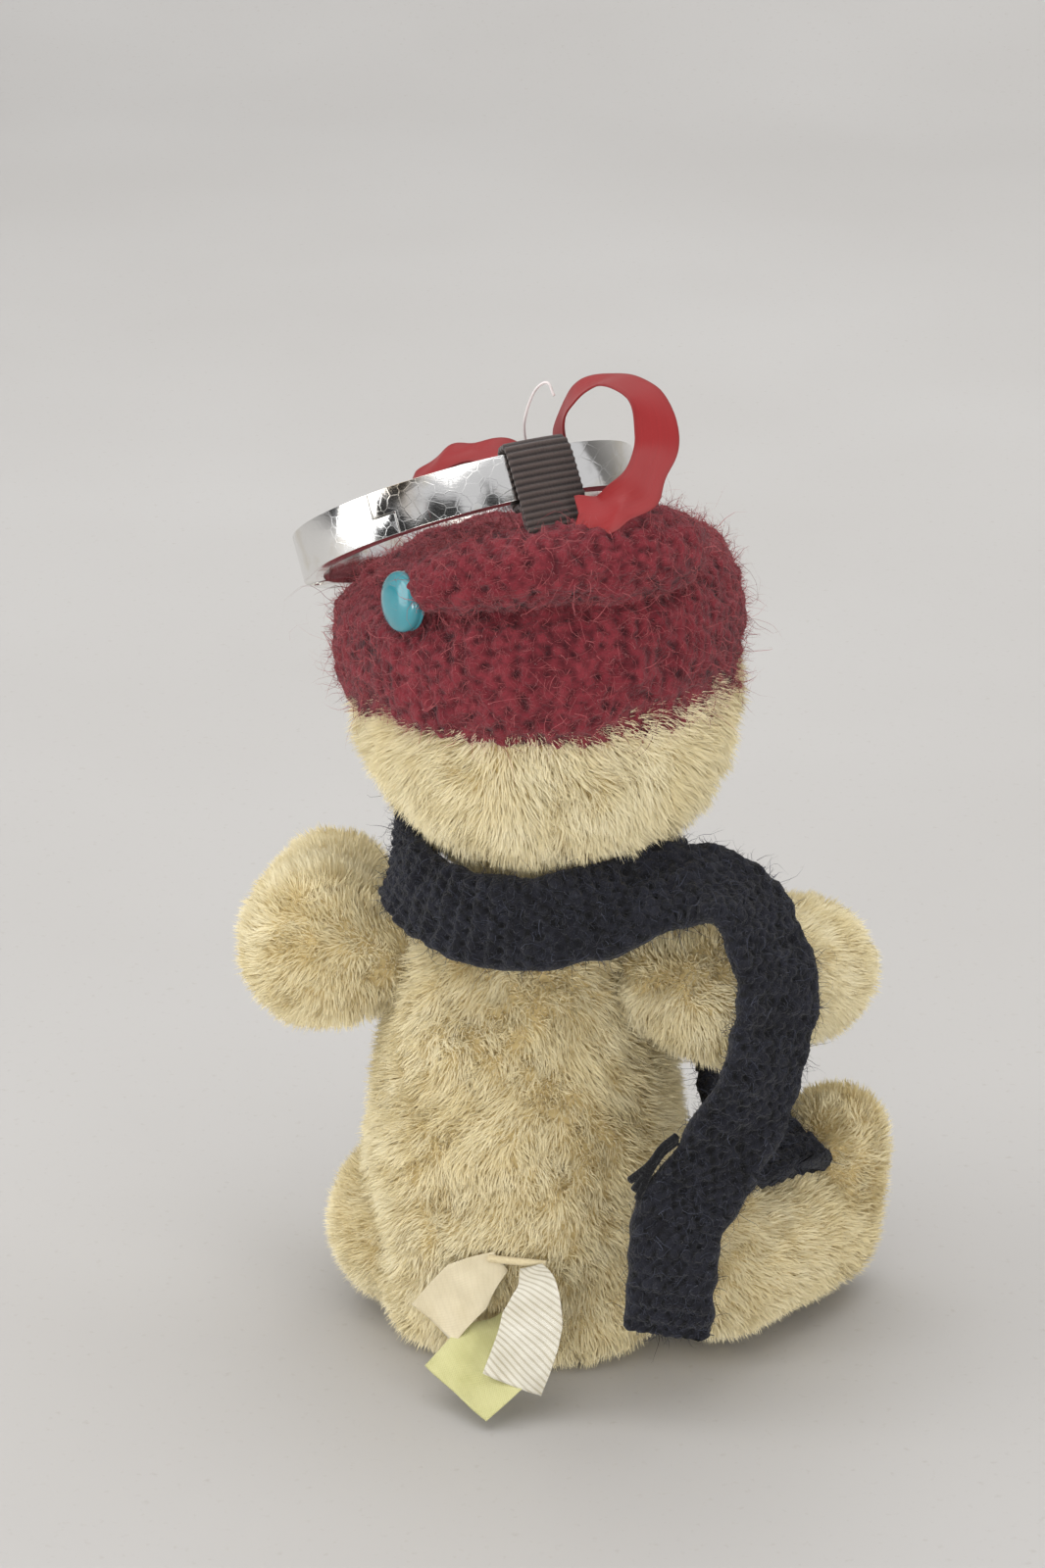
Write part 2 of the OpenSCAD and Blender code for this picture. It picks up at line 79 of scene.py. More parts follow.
def even_path(points, normals, step):
    """The smooth curve and its normals, resampled to even steps."""
    fine, turn = smooth_path(points, 24), unit(smooth_path(unit(normals), 24))
    at = np.concatenate([[0], np.cumsum(np.linalg.norm(np.diff(fine, axis=0), axis=1))])
    want = np.linspace(0, at[-1], max(int(at[-1] / step), 8) + 1)
    path, out = ([np.interp(want, at, v[:, k]) for k in range(3)] for v in (fine, turn))
    return np.stack(path, 1), unit(np.stack(out, 1)), want


def ripple(points, size, seed, waves=9):
    """Soft noise from about -1 to 1, whose lumps are about size across."""
    dice = np.random.default_rng(seed)
    directions = unit(dice.normal(size=(waves, 3)))
    stretch = dice.uniform(0.6, 1.7, waves) * 2 * math.pi / (2.2 * size)
    phases = dice.uniform(0, 2 * math.pi, waves)
    return np.sin(points @ (directions * stretch[:, None]).T + phases).sum(1) / math.sqrt(waves) / 1.2


# ---- meshes ----

def mesh_object(name, points, faces, smooth=True):
    """An object from points in millimetres and equal-sided faces, or a list of such arrays."""
    groups = [np.asarray(f, np.int32) for f in (faces if isinstance(faces, list) else [faces])]
    loops = np.concatenate([g.ravel() for g in groups])
    sizes = np.concatenate([np.full(len(g), g.shape[1], np.int32) for g in groups])
    mesh = bpy.data.meshes.new(name)
    mesh.vertices.add(len(points))
    mesh.vertices.foreach_set("co", (np.asarray(points, np.float32) * MM).ravel())
    mesh.loops.add(len(loops))
    mesh.loops.foreach_set("vertex_index", loops)
    mesh.polygons.add(len(sizes))
    mesh.polygons.foreach_set("loop_start", np.concatenate([[0], np.cumsum(sizes)[:-1]]).astype(np.int32))
    mesh.polygons.foreach_set("loop_total", sizes)
    mesh.update(calc_edges=True)
    mesh.validate()
    if smooth:
        mesh.shade_smooth()
    made = bpy.data.objects.new(name, mesh)
    bpy.context.scene.collection.objects.link(made)
    return made


def give(mesh, name, values):
    """A number for each point of the mesh, which its material reads by name."""
    mesh.attributes.new(name, "FLOAT", "POINT").data.foreach_set("value", np.asarray(values, np.float32))


def given(mesh, name):
    """The numbers that give() put on the mesh's points."""
    values = np.empty(len(mesh.vertices), np.float32)
    mesh.attributes[name].data.foreach_get("value", values)
    return values


def quads(rows, columns, wrap):
    """Faces of a grid of rows by columns of points; wrap joins each row's last point to its first."""
    r, c = np.meshgrid(np.arange(rows - 1), np.arange(columns if wrap else columns - 1), indexing="ij")
    after = (c + 1) % columns
    a, b, e, d = r * columns + c, r * columns + after, (r + 1) * columns + after, (r + 1) * columns + c
    return np.stack([a, b, e, d], -1).reshape(-1, 4)


def loft(name, rings, closed=False):
    """A skin over rings of points, with its ends capped by fans unless it closes on itself."""
    rings = np.asarray(rings, float)
    n, k = rings.shape[:2]
    points = rings.reshape(-1, 3)
    if closed:
        faces = quads(n + 1, k, True) % (n * k)
        return mesh_object(name, points, faces)
    points = np.vstack([points, rings[0].mean(0), rings[-1].mean(0)])
    i = np.arange(k)
    start = np.stack([(i + 1) % k, i, np.full(k, n * k)], 1)
    end = np.stack([(n - 1) * k + i, (n - 1) * k + (i + 1) % k, np.full(k, n * k + 1)], 1)
    return mesh_object(name, points, [quads(n, k, True), np.vstack([start, end])])


def applied(obj):
    """The object with its modifiers made into its mesh."""
    graph = bpy.context.evaluated_depsgraph_get()
    mesh = bpy.data.meshes.new_from_object(obj.evaluated_get(graph))
    obj.modifiers.clear()
    obj.data = mesh
    return obj


def melted(name, parts, voxel, rounds):
    """One smooth skin round several overlapping closed meshes."""
    first = parts[0]
    with bpy.context.temp_override(active_object=first, selected_editable_objects=parts):
        bpy.ops.object.join()
    first.name = first.data.name = name
    remesh = first.modifiers.new("one_skin", "REMESH")
    remesh.mode, remesh.voxel_size, remesh.use_smooth_shade = "VOXEL", voxel * MM, True
    relax = first.modifiers.new("relax", "SMOOTH")
    relax.factor, relax.iterations = 0.5, rounds
    made = applied(first)
    made.data.shade_smooth()
    return made


def places(obj):
    """The object's points and normals, in millimetres."""
    mesh = obj.data
    p, n = np.empty(len(mesh.vertices) * 3, np.float32), np.empty(len(mesh.vertices) * 3, np.float32)
    mesh.vertices.foreach_get("co", p)
    mesh.vertices.foreach_get("normal", n)
    return p.reshape(-1, 3).astype(float) / MM, n.reshape(-1, 3).astype(float)


def move_to(obj, points):
    obj.data.vertices.foreach_set("co", (np.asarray(points, np.float32) * MM).ravel())
    obj.data.update()


def ball_chain(name, centres, radii, squash=(1, 1, 1)):
    """A closed limb round a smooth line of centres, with ball ends."""
    line = smooth_path(centres, 10)
    r = smooth_path([[x, 0, 0] for x in radii], 10)[:, 0]
    along = unit(np.gradient(line, axis=0))
    side = unit(np.cross(along, UP + 1e-3))
    other = np.cross(side, along)
    around = np.linspace(0, 2 * math.pi, 40, endpoint=False)
    rings = []
    for turn in np.linspace(-80, -8, 9):
        a = math.radians(turn)
        rings.append((line[0] + along[0] * r[0] * math.sin(a), r[0] * math.cos(a), 0))
    rings += [(line[i], r[i], i) for i in range(len(line))]
    for turn in np.linspace(8, 80, 9):
        a = math.radians(turn)
        rings.append((line[-1] + along[-1] * r[-1] * math.sin(a), r[-1] * math.cos(a), -1))
    made = [c + q * (np.outer(np.cos(around), side[i]) + np.outer(np.sin(around), other[i]))
            for c, q, i in rings]
    return loft(name, np.array(made))


def tube(name, points, radius, steps=10, sides=10):
    path = smooth_path(points, steps)
    along = unit(np.gradient(path, axis=0))
    side = unit(np.cross(along, [0.3, 0.1, 1.0]))
    other = np.cross(side, along)
    a = np.linspace(0, 2 * math.pi, sides, endpoint=False)
    return loft(name, [p + radius * (np.outer(np.cos(a), s) + np.outer(np.sin(a), o))
                       for p, s, o in zip(path, side, other)])


# ---- pile, fuzz and loose fibres ----

def scatter(obj, count, seed):
    """Random places on the object, even by area, with the surface's normal at each."""
    mesh = obj.data
    mesh.calc_loop_triangles()
    tri = np.empty(len(mesh.loop_triangles) * 3, np.int32)
    mesh.loop_triangles.foreach_get("vertices", tri)
    tri = tri.reshape(-1, 3)
    p, n = places(obj)
    a, b, c = (p[tri[:, k]] for k in range(3))
    area = np.linalg.norm(np.cross(b - a, c - a), axis=1)
    dice = np.random.default_rng(seed)
    pick = dice.choice(len(tri), count, p=area / area.sum())
    u, v = np.sqrt(dice.random(count)), dice.random(count)
    weights = np.stack([1 - u, u * (1 - v), u * v], 1)[:, :, None]
    t = tri[pick]
    return (p[t] * weights).sum(1), unit((n[t] * weights).sum(1)), dice


def strands(name, roots, lines, width, faces_out, tint):
    """Thin tapering blades: lines holds each one's places from root to tip."""
    n, k = lines.shape[:2]
    along = unit(lines[:, 1:] - lines[:, :-1])
    across = unit(np.cross(along[:, 0], faces_out))[:, None, :]
    taper = (1 - (np.arange(k - 1) / (k - 1)) ** 1.6)[None, :, None]
    half = np.broadcast_to(np.asarray(width, float).reshape(-1, 1, 1), (n, 1, 1)) / 2 * taper
    points = np.empty((n, 2 * k - 1, 3))
    points[:, 0:2 * k - 2:2] = lines[:, :-1] + across * half
    points[:, 1:2 * k - 2:2] = lines[:, :-1] - across * half
    points[:, -1] = lines[:, -1]
    base = (np.arange(n) * (2 * k - 1))[:, None, None]
    steps = np.array([[2 * i, 2 * i + 1, 2 * i + 3, 2 * i + 2] for i in range(k - 2)], np.int32)
    tips = np.array([[2 * k - 4, 2 * k - 3, 2 * k - 2]], np.int32)
    faces = [(base + tips).reshape(-1, 3)]
    if k > 2:
        faces.insert(0, (base + steps).reshape(-1, 4))
    made = mesh_object(name, points.reshape(-1, 3), faces)
    share = np.repeat(np.arange(k - 1) / (k - 1), 2)
    share = np.concatenate([share, [1.0]])
    give(made.data, "height", np.tile(share, n))
    give(made.data, "tint", np.repeat(tint, 2 * k - 1))
    return made


def pile(name, skin, per_mm2, length, comb, lay, seed, keep=None, width=0.135, ruffle=0.45,
         slack=0.3):
    """The plush's pile: short blades that lie along comb, in soft tufts."""
    mesh_area = sum(f.area for f in skin.data.polygons) / MM ** 2
    p, n, dice = scatter(skin, int(mesh_area * per_mm2), seed)
    if keep is not None:
        held = keep(p)
        p, n = p[held], n[held]
    flow = comb(p) if callable(comb) else np.broadcast_to(np.asarray(comb, float), p.shape)
    flow = unit(flow - (flow * n).sum(1, keepdims=True) * n)
    tuft = np.stack([ripple(p, 1.7, seed + k) for k in range(3)], 1)
    wave = np.stack([ripple(p, 5.0, seed + 9 + k) for k in range(3)], 1)
    d = unit(n * (1 - lay) + flow * lay + tuft * ruffle * 0.5 + wave * ruffle * 0.45
             + dice.normal(size=p.shape) * 0.16)
    sunk = (d * n).sum(1, keepdims=True)
    d = unit(d + n * np.maximum(0.2 - sunk, 0))
    size = length * dice.uniform(1 - slack, 1 + slack, (len(p), 1))
    size = size * (1 + 0.12 * ripple(p, 3, seed)[:, None])
    droop = unit(flow + dice.normal(size=p.shape) * 0.5) * size * 0.22
    lines = np.stack([p - n * 0.15, p + d * size * 0.55 + droop * 0.3, p + d * size + droop], 1)
    out = unit(n + dice.normal(size=p.shape) * 0.28)
    tint = 0.5 + 0.24 * ripple(p, 2.2, seed + 3) + 0.22 * ripple(p, 7.5, seed + 5) \
        + dice.normal(size=len(p)) * 0.07
    return strands(name, p, lines, width * dice.uniform(0.7, 1.3, len(p)), out, tint)


def fuzz(name, skin, count, length, width, seed, stand=0.35, curl=0.9, links=6, keep=None):
    """Loose curly fibres that stand off felted wool."""
    p, n, dice = scatter(skin, count, seed)
    if keep is not None:
        held = keep(p)
        p, n = p[held], n[held]
    d = unit(dice.normal(size=p.shape) + n * stand * 2)
    step = length * dice.gamma(2.2, 0.45, (len(p), 1)) / (links - 1)
    line, here = [p - n * 0.1], p
    swirl = unit(dice.normal(size=p.shape))
    for _ in range(links - 1):
        here = here + d * step
        line.append(here)
        d = unit(d + np.cross(swirl, d) * curl * 0.6 + dice.normal(size=p.shape) * curl * 0.25
                 - n * 0.14 * (d * n).sum(1, keepdims=True))
    lines = np.stack(line, 1)
    tint = np.clip(dice.normal(0.5, 0.25, len(p)), 0, 1)
    return strands(name, p, lines, width * dice.uniform(0.6, 1.4, len(p)), unit(np.cross(d, swirl)), tint)


# ---- materials ----

class Value:
    """A shader socket that takes part in Python sums, adding the Math nodes that work them out."""

    def __init__(self, recipe, socket):
        self.recipe, self.socket = recipe, socket

    def sum(self, operation, *others):
        return self.recipe.node("Math", {"operation": operation}, *others).value()

    def __add__(self, other):
        return self.sum("ADD", self, other)

    def __mul__(self, other):
        return self.sum("MULTIPLY", self, other)

    def __sub__(self, other):
        return self.sum("SUBTRACT", self, other)

    def __rsub__(self, other):
        return self.sum("SUBTRACT", other, self)

    __radd__, __rmul__ = __add__, __mul__

    def clamped(self):
        return self.recipe.node("Clamp", {}, self).value()


class Made:
    """A node of a recipe, whose outputs are read by name."""

    def __init__(self, recipe, node):
        self.recipe, self.node = recipe, node

    def value(self, name=None):
        outputs = self.node.outputs
        return Value(self.recipe, outputs[name] if name else outputs[0])


class Recipe:
    """A material, built from nodes."""

    def __init__(self, name):
        self.material = bpy.data.materials.new(name)
        self.material.use_nodes = True
        self.tree = self.material.node_tree
        self.tree.nodes.clear()

    def node(self, kind, settings=None, *inputs, **named):
        """Adds a node: its settings first, then its sockets' values or links, in order or by name."""
        made = self.tree.nodes.new("ShaderNode" + kind)
        for key, value in (settings or {}).items():
            if key == "stops":
                self.stops(made.color_ramp, value)
            else:
                setattr(made, key, value)
        for key, value in [*enumerate(inputs), *named.items()]:
            socket = made.inputs[key.replace("_", " ") if isinstance(key, str) else key]
            if isinstance(value, Value):
                self.tree.links.new(value.socket, socket)
            elif value is not None:
                socket.default_value = value
        return Made(self, made)

    def stops(self, ramp, stops):
        while len(ramp.elements) < len(stops):
            ramp.elements.new(1.0)
        for element, (at, colour) in zip(ramp.elements, stops):
            element.position, element.color = at, (*colour, 1)

    def places(self, scale=(1, 1, 1)):
        """Where a point is on the object, in its own frame, times scale."""
        at = self.node("TexCoord").value("Object")
        return self.node("Mapping", {}, at, Scale=scale).value()

    def noise(self, scale, detail=3.0, stretch=(1, 1, 1)):
        return self.node("TexNoise", {}, self.places(stretch), Scale=scale, Detail=detail).value("Fac")

    def read(self, name):
        return self.node("Attribute", {"attribute_name": name}).value("Fac")

    def mix(self, share, low, high):
        """A colour between low and high."""
        made = self.tree.nodes.new("ShaderNodeMix")
        made.data_type = "RGBA"
        for socket, value in ((made.inputs[0], share), (made.inputs[6], low), (made.inputs[7], high)):
            if isinstance(value, Value):
                self.tree.links.new(value.socket, socket)
            else:
                socket.default_value = value if socket is made.inputs[0] else (*value, 1)
        return Value(self, made.outputs[2])

    def bump(self, height, strength, distance):
        return self.node("Bump", {}, Height=height, Strength=strength, Distance=distance).value("Normal")

    def finish(self, **sockets):
        """Ends the recipe with one Principled shader."""
        shader = self.node("BsdfPrincipled", {}, **sockets)
        out = self.tree.nodes.new("ShaderNodeOutputMaterial")
        self.tree.links.new(shader.node.outputs[0], out.inputs[0])
        return self.material


def srgb(r, g, b):
    """A colour as it is seen, from 0 to 255, as the shader's linear one."""
    return tuple(c / 12.92 if c <= 0.04045 else ((c + 0.055) / 1.055) ** 2.4
                 for c in (r / 255, g / 255, b / 255))


def plush_pile(name, light, shade, deep):
    r = Recipe(name)
    height, tint = r.read("height"), r.read("tint")
    body = r.mix(tint.clamped(), shade, light)
    # painted shade: each blade runs from the deep colour at its root to its own tint near the tip, standing
    # in for the shade inside the pile
    colour = r.mix((height * 2.0 + 0.2).clamped(), deep, body)
    return r.finish(Base_Color=colour, Roughness=0.78, Sheen_Weight=0.25, Sheen_Roughness=0.5,
                    Specular_IOR_Level=0.2, Subsurface_Weight=0.0)


def wool_fibre(name, low, high, glow):
    r = Recipe(name)
    colour = r.mix(r.read("tint").clamped(), low, high)
    return r.finish(Base_Color=colour, Roughness=0.8, Sheen_Weight=glow, Specular_IOR_Level=0.2)


def skin_cloth(name, colour, dark, scale=900):
    """The backing cloth that shows between the pile."""
    r = Recipe(name)
    grain = r.noise(scale)
    return r.finish(Base_Color=r.mix(grain, dark, colour), Roughness=0.9, Sheen_Weight=0.2,
                    Normal=r.bump(grain, 0.5, 0.0003))


def felted_knit(name, low, mid, high):
    """Fulled wool: a blurred mottle, with painted shade in the hollows between stitches."""
    r = Recipe(name)
    stitch, mottle, grain = r.read("stitch"), r.noise(420, 4), r.noise(2600, 4)
    body = r.mix(((mottle - 0.3) * 2.2).clamped(), mid, high)
    pits = ((0.42 - r.noise(950, 3)) * 6).clamped()
    # painted shade: the low colour fills the hollows where the stitch height is low; the grain and pits add
    # random darker mottle as well
    colour = r.mix((stitch * 1.5 + grain * 0.8 - 0.36 - pits * 0.35).clamped(), low, body)
    return r.finish(Base_Color=colour, Roughness=0.92, Sheen_Weight=0.12, Sheen_Roughness=0.6,
                    Specular_IOR_Level=0.15, Normal=r.bump(grain + mottle * 0.7, 0.9, 0.0005))


def satin(name, colour, inside):
    """Satin: smooth floats along the ribbon, a darker colour on its back."""
    r = Recipe(name)
    floats = r.read("across")
    thread = r.node("TexNoise", {"noise_dimensions": "1D"}, W=floats * 26, Scale=1.0,
                    Detail=2.0).value("Fac")
    back = r.node("NewGeometry").value("Backfacing")
    face = r.mix(thread, tuple(c * 0.8 for c in colour), colour)
    edge = r.read("edge")
    tone = r.mix((edge * 0.5).clamped(), r.mix(back, face, inside), tuple(c * 0.55 for c in colour))
    return r.finish(Base_Color=tone, Roughness=(0.4 + thread * 0.16), Sheen_Weight=0.08,
                    Anisotropic=0.5, Specular_IOR_Level=0.5, Normal=r.bump(thread, 0.25, 0.0001))


def grosgrain(name, rib, rib_gap_shade):
    r = Recipe(name)
    ridge, grain = r.read("stitch"), r.noise(5200, 3, (1, 1, 1))
    fray = r.noise(700, 3)
    # painted shade: the gaps between the ribs, where the stitch height is low, take the darker colour; the
    # grain and fray add random variation
    colour = r.mix((ridge * 0.8 + grain * 0.45 + fray * 0.25 - 0.3).clamped(), rib_gap_shade, rib)
    return r.finish(Base_Color=colour, Roughness=0.7, Sheen_Weight=0.25, Specular_IOR_Level=0.3,
                    Normal=r.bump(grain, 0.6, 0.00015))


def chrome(name):
    """Polished plate with fine scratches, rubbed a little yellow."""
    r = Recipe(name)
    scratch = r.node("TexNoise", {}, r.places((1, 1, 6)), Scale=1500.0, Detail=6.0).value("Fac")
    fine = r.node("TexVoronoi", {"feature": "DISTANCE_TO_EDGE"}, r.places((1, 0.3, 1)), Scale=900.0)
    worn = r.noise(260, 5)
    line = (1 - fine.value() * 18).clamped()
    plate = r.mix(((worn - 0.52) * 5).clamped(), srgb(232, 231, 229), srgb(214, 206, 190))
    colour = r.mix((r.read("rub") * (0.6 + worn)).clamped(), plate, srgb(206, 170, 104))
    return r.finish(Base_Color=colour, Metallic=1.0, Roughness=(0.07 + scratch * 0.1 + line * 0.12),
                    Normal=r.bump(scratch * 0.5 + line * 0.35, 0.14, 0.00008))


def gloss(name, colour, dark, rough=0.16, coat=0.6):
    r = Recipe(name)
    cloud = r.noise(520, 4)
    return r.finish(Base_Color=r.mix(cloud, dark, colour), Roughness=(rough + cloud * 0.12),
                    Coat_Weight=coat, Coat_Roughness=0.08, Specular_IOR_Level=0.5,
                    Normal=r.bump(cloud, 0.08, 0.0002))


def woven_label(name, colour, dark, stripes):
    """Narrow woven tape, with faint slanting bars and no lettering."""
    r = Recipe(name)
    across, along = r.read("across"), r.read("along")
    weave = r.node("Math", {"operation": "SINE"}, across * 160).value() \
        * r.node("Math", {"operation": "SINE"}, along * 30).value()
    bars = r.node("Math", {"operation": "SINE"}, (along + across * 3.0) * 9.0).value()
    grime = r.noise(330, 4)
    share = (0.62 + weave * 0.12 - (bars * stripes).clamped() + (grime - 0.5) * 0.9).clamped()
    return r.finish(Base_Color=r.mix(share, dark, colour), Roughness=0.5, Sheen_Weight=0.4,
                    Specular_IOR_Level=0.4, Normal=r.bump(weave, 0.3, 0.0001))


def floor_finish(name):
    r = Recipe(name)
    broad = r.noise(9, 3)
    dust = r.noise(900, 4)
    colour = r.mix(broad, srgb(186, 183, 179), srgb(197, 195, 192))
    return r.finish(Base_Color=r.mix(((dust - 0.62) * 3).clamped(), colour, srgb(170, 164, 156)),
                    Roughness=(0.42 + broad * 0.2), Specular_IOR_Level=0.35)


# the third cream is painted shade for the roots of the pile; the first two are the pile's own tints, which
# vary at random
CREAM_LIGHT, CREAM_SHADE, CREAM_ROOT_SHADE = srgb(244, 234, 200), srgb(235, 221, 177), srgb(220, 202, 155)
PILE = plush_pile("cream_pile", CREAM_LIGHT, CREAM_SHADE, CREAM_ROOT_SHADE)
BACKING = skin_cloth("cream_backing", srgb(214, 196, 146), srgb(188, 166, 116))
# the first colour of HAT_WOOL is painted shade for the hollows between stitches, and also shows in the
# knit's random dark mottle
HAT_WOOL = felted_knit("maroon_felted_knit", srgb(62, 14, 22), srgb(116, 34, 44), srgb(140, 52, 60))
HAT_FIBRE = wool_fibre("maroon_fibre", srgb(104, 30, 37), srgb(180, 96, 98), 0.2)
# the first colour of SCARF_WOOL is painted shade for the hollows between the garter stitches, and also
# shows in the random dark mottle
SCARF_WOOL = felted_knit("navy_knit", srgb(7, 7, 10), srgb(21, 21, 28), srgb(35, 36, 45))
SCARF_FIBRE = wool_fibre("navy_fibre", srgb(17, 18, 24), srgb(74, 77, 90), 0.15)
SATIN = satin("red_satin", srgb(152, 22, 24), srgb(76, 12, 15))
# the strap's second colour is painted shade in the gaps between its ribs
STRAP_WEAVE = grosgrain("dark_grosgrain", srgb(86, 73, 68), srgb(34, 27, 26))
CHROME = chrome("polished_plate")
TEAL = gloss("teal_button", srgb(60, 148, 158), srgb(46, 122, 134))
BLACK = gloss("black_bead", srgb(26, 20, 18), srgb(12, 9, 9), 0.08, 0.9)
BROWN = gloss("brown_nose", srgb(70, 44, 36), srgb(46, 28, 24), 0.28, 0.3)
LABEL_CREAM = woven_label("cream_label", srgb(228, 216, 186), srgb(176, 160, 120), 0.05)
LABEL_WHITE = woven_label("white_label", srgb(232, 228, 214), srgb(170, 160, 134), 0.5)
LABEL_LIME = woven_label("lime_label", srgb(212, 208, 150), srgb(164, 160, 96), 0.04)
FELT = skin_cloth("tan_felt", srgb(206, 168, 134), srgb(176, 136, 104), 1500)
THREAD = skin_cloth("sewing_thread", srgb(222, 208, 170), srgb(188, 170, 130), 3000)
DARK_THREAD = skin_cloth("dark_thread", srgb(62, 40, 34), srgb(30, 20, 18), 3000)
CLEAR = gloss("clear_filament", srgb(236, 226, 222), srgb(214, 206, 204), 0.12, 0.5)
STEEL = chrome("plain_steel")


def dress(obj, body, material, slot, *nodes):
    """The piece's finish, the body that it moves with, and the CAD nodes that it stands for."""
    obj.data.materials.clear()
    obj.data.materials.append(material)
    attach(obj, body)
    if nodes:
        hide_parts(*nodes)
    return obj


# ---- camera, light and floor ----

def aimed(name, data, place, back):
    """An object at place that looks the other way from back, upright."""
    made = bpy.data.objects.new(name, data)
    bpy.context.scene.collection.objects.link(made)
    right = unit(np.cross(UP, back))
    turn = np.stack([right, np.cross(back, right), back], 1)
    made.matrix_world = Matrix([[*turn[i], place[i] * MM] for i in range(3)] + [[0, 0, 0, 1]])
    return made


def look_from(azimuth, elevation, distance, target):
    """The camera, at angles in degrees round the target."""
    a, e = math.radians(azimuth), math.radians(elevation)
    away = np.array([math.sin(a) * math.cos(e), -math.cos(a) * math.cos(e), math.sin(e)])
    data = bpy.data.cameras.new("camera")
    camera = aimed("camera", data, np.array(target) + away * distance, away)
    data.sensor_width, data.clip_start, data.clip_end = 36, 0.01, 20
    data.lens = data.sensor_width * distance / FRAME_HEIGHT
    bpy.context.scene.camera = camera


def softbox(name, place, target, size, power, colour=(1, 1, 1)):
    """A lamp of size in millimetres and power in watts."""
    data = bpy.data.lights.new(name, "AREA")
    data.shape, data.size, data.size_y = "RECTANGLE", size[0] * MM, size[1] * MM
    data.energy, data.color = power, colour
    return aimed(name, data, place, unit(np.array(place, float) - np.array(target, float)))


FRAME_HEIGHT = 160       # what the picture takes in, top to bottom, at the toy
look_from(193, 20, 450, (0.6, 0, 60))
softbox("over", (60, 80, 460), (0, 0, 40), (520, 520), 1.05, (1, 0.99, 0.97))
softbox("left", (520, 260, 200), (0, 0, 40), (320, 420), 1.3, (0.97, 0.98, 1))
softbox("right", (-440, 380, 110), (0, 0, 30), (240, 300), 1.0)
softbox("low", (20, 640, 60), (0, 0, 16), (340, 110), 1.35)
# The backdrop's own light stays out of the plate's reflections
softbox("behind", (0, -420, 640), (0, -760, 60), (1000, 500), 3.1, (0.98, 0.99, 1)).visible_glossy = False


def studio_room():
    """Pale walls overhead with dark patches between them, for the plate to reflect."""
    world = bpy.data.worlds.new("studio")
    world.use_nodes = True
    room = world.node_tree
    facing = room.nodes.new("ShaderNodeTexCoord").outputs["Generated"]
    level = room.nodes.new("ShaderNodeVectorMath")
    level.operation = "DOT_PRODUCT"
    level.inputs[1].default_value = (0.04, -0.2, 0.5)
    patches = room.nodes.new("ShaderNodeTexNoise")
    patches.inputs["Scale"].default_value = 2.3
    patches.inputs["Detail"].default_value = 1.0
    split = room.nodes.new("ShaderNodeMath")
    split.operation = "MULTIPLY_ADD"
    split.inputs[1].default_value = 1.5
    tone = room.nodes.new("ShaderNodeValToRGB")
    for stop, (place, shade) in zip(tone.color_ramp.elements, ((0.76, 0.03), (0.83, 0.8))):
        stop.position, stop.color = place, (shade, shade, shade * 1.02, 1)
    wall = room.nodes["Background"]
    wall.inputs[1].default_value = 0.85
    for start, end in ((facing, level.inputs[0]), (facing, patches.inputs["Vector"]),
                       (level.outputs["Value"], split.inputs[2]), (patches.outputs["Fac"], split.inputs[0]),
                       (split.outputs[0], tone.inputs[0]), (tone.outputs[0], wall.inputs[0])):
        room.links.new(start, end)
    bpy.context.scene.world = world
    bpy.context.scene.view_settings.view_transform = "Standard"


def backdrop():
    """A pale sheet that lies flat and curves up far behind the toy."""
    flat, rise, bend = 900, 700, 300
    arc = [(-flat + bend - bend * math.sin(a), bend - bend * math.cos(a))
           for a in np.linspace(0, math.pi / 2, 24)]
    line = [(flat, 0), (0, 0)] + arc + [(-flat, rise + bend)]
    points = [(x, y, z) for y, z in line for x in (-1600, 1600)]
    made = mesh_object("floor", points, quads(len(line), 2, False)[:, ::-1])
    made.data.materials.append(floor_finish("pale_table"))


studio_room()
backdrop()


# ---- the plush ----

def lathe(name, profile, centre, sides=96, wobble=0.35, seed=1, grow=(1, 1)):
    """A turned form: profile is its height and radius from the bottom up."""
    line = smooth_path([[z, r, 0] for z, r in profile], 8)
    a = np.linspace(0, 2 * math.pi, sides, endpoint=False)
    rings = np.array([[(centre[0] + grow[0] * r * math.cos(t), centre[1] + grow[1] * r * math.sin(t), z)
                       for t in a] for z, r, _ in line])
    flat = rings.reshape(-1, 3)
    out = unit((flat - [centre[0], centre[1], 0]) * [1, 1, 0])
    lumps = ripple(flat, 9, seed) * wobble
    fade = np.clip(np.repeat(line[:, 1], sides) / 6, 0, 1)
    return loft(name, (flat + out * (lumps * fade)[:, None]).reshape(rings.shape))


def node_mm(name):
    lo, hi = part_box(name)
    return np.array(lo) / MM, np.array(hi) / MM


INSET = 1.1              # the skin lies this far inside the pile's outline
head_lo, head_hi = node_mm("head_skin")
head_mid = (head_lo + head_hi) / 2
head_radius = (head_hi[0] - head_lo[0]) / 2
HEAD_LEVEL = 70.5        # the head's widest level


def plush(name, skin, body, nodes, comb, **settings):
    """A plush part: its backing cloth and the pile on it."""
    dress(skin, body, BACKING, "plush", *nodes)
    hair = pile(name + "_pile", skin, settings.pop("per_mm2", 18), settings.pop("length", 1.9), comb,
                settings.pop("lay", 0.55), **settings)
    dress(hair, body, PILE, "plush")


torso_profile = [(0.15, 0.4), (0.15, 10), (1.5, 13.2), (5, 14.6), (9, 15.4), (15, 15.8), (22, 15.5),
                 (29, 14.4), (36, 13.2), (42, 11.6), (47, 9.4), (49.7, 6), (49.8, 0.4)]
torso = lathe("torso", torso_profile, (0, 0), seed=11, wobble=0.5, grow=(1.02, 1))


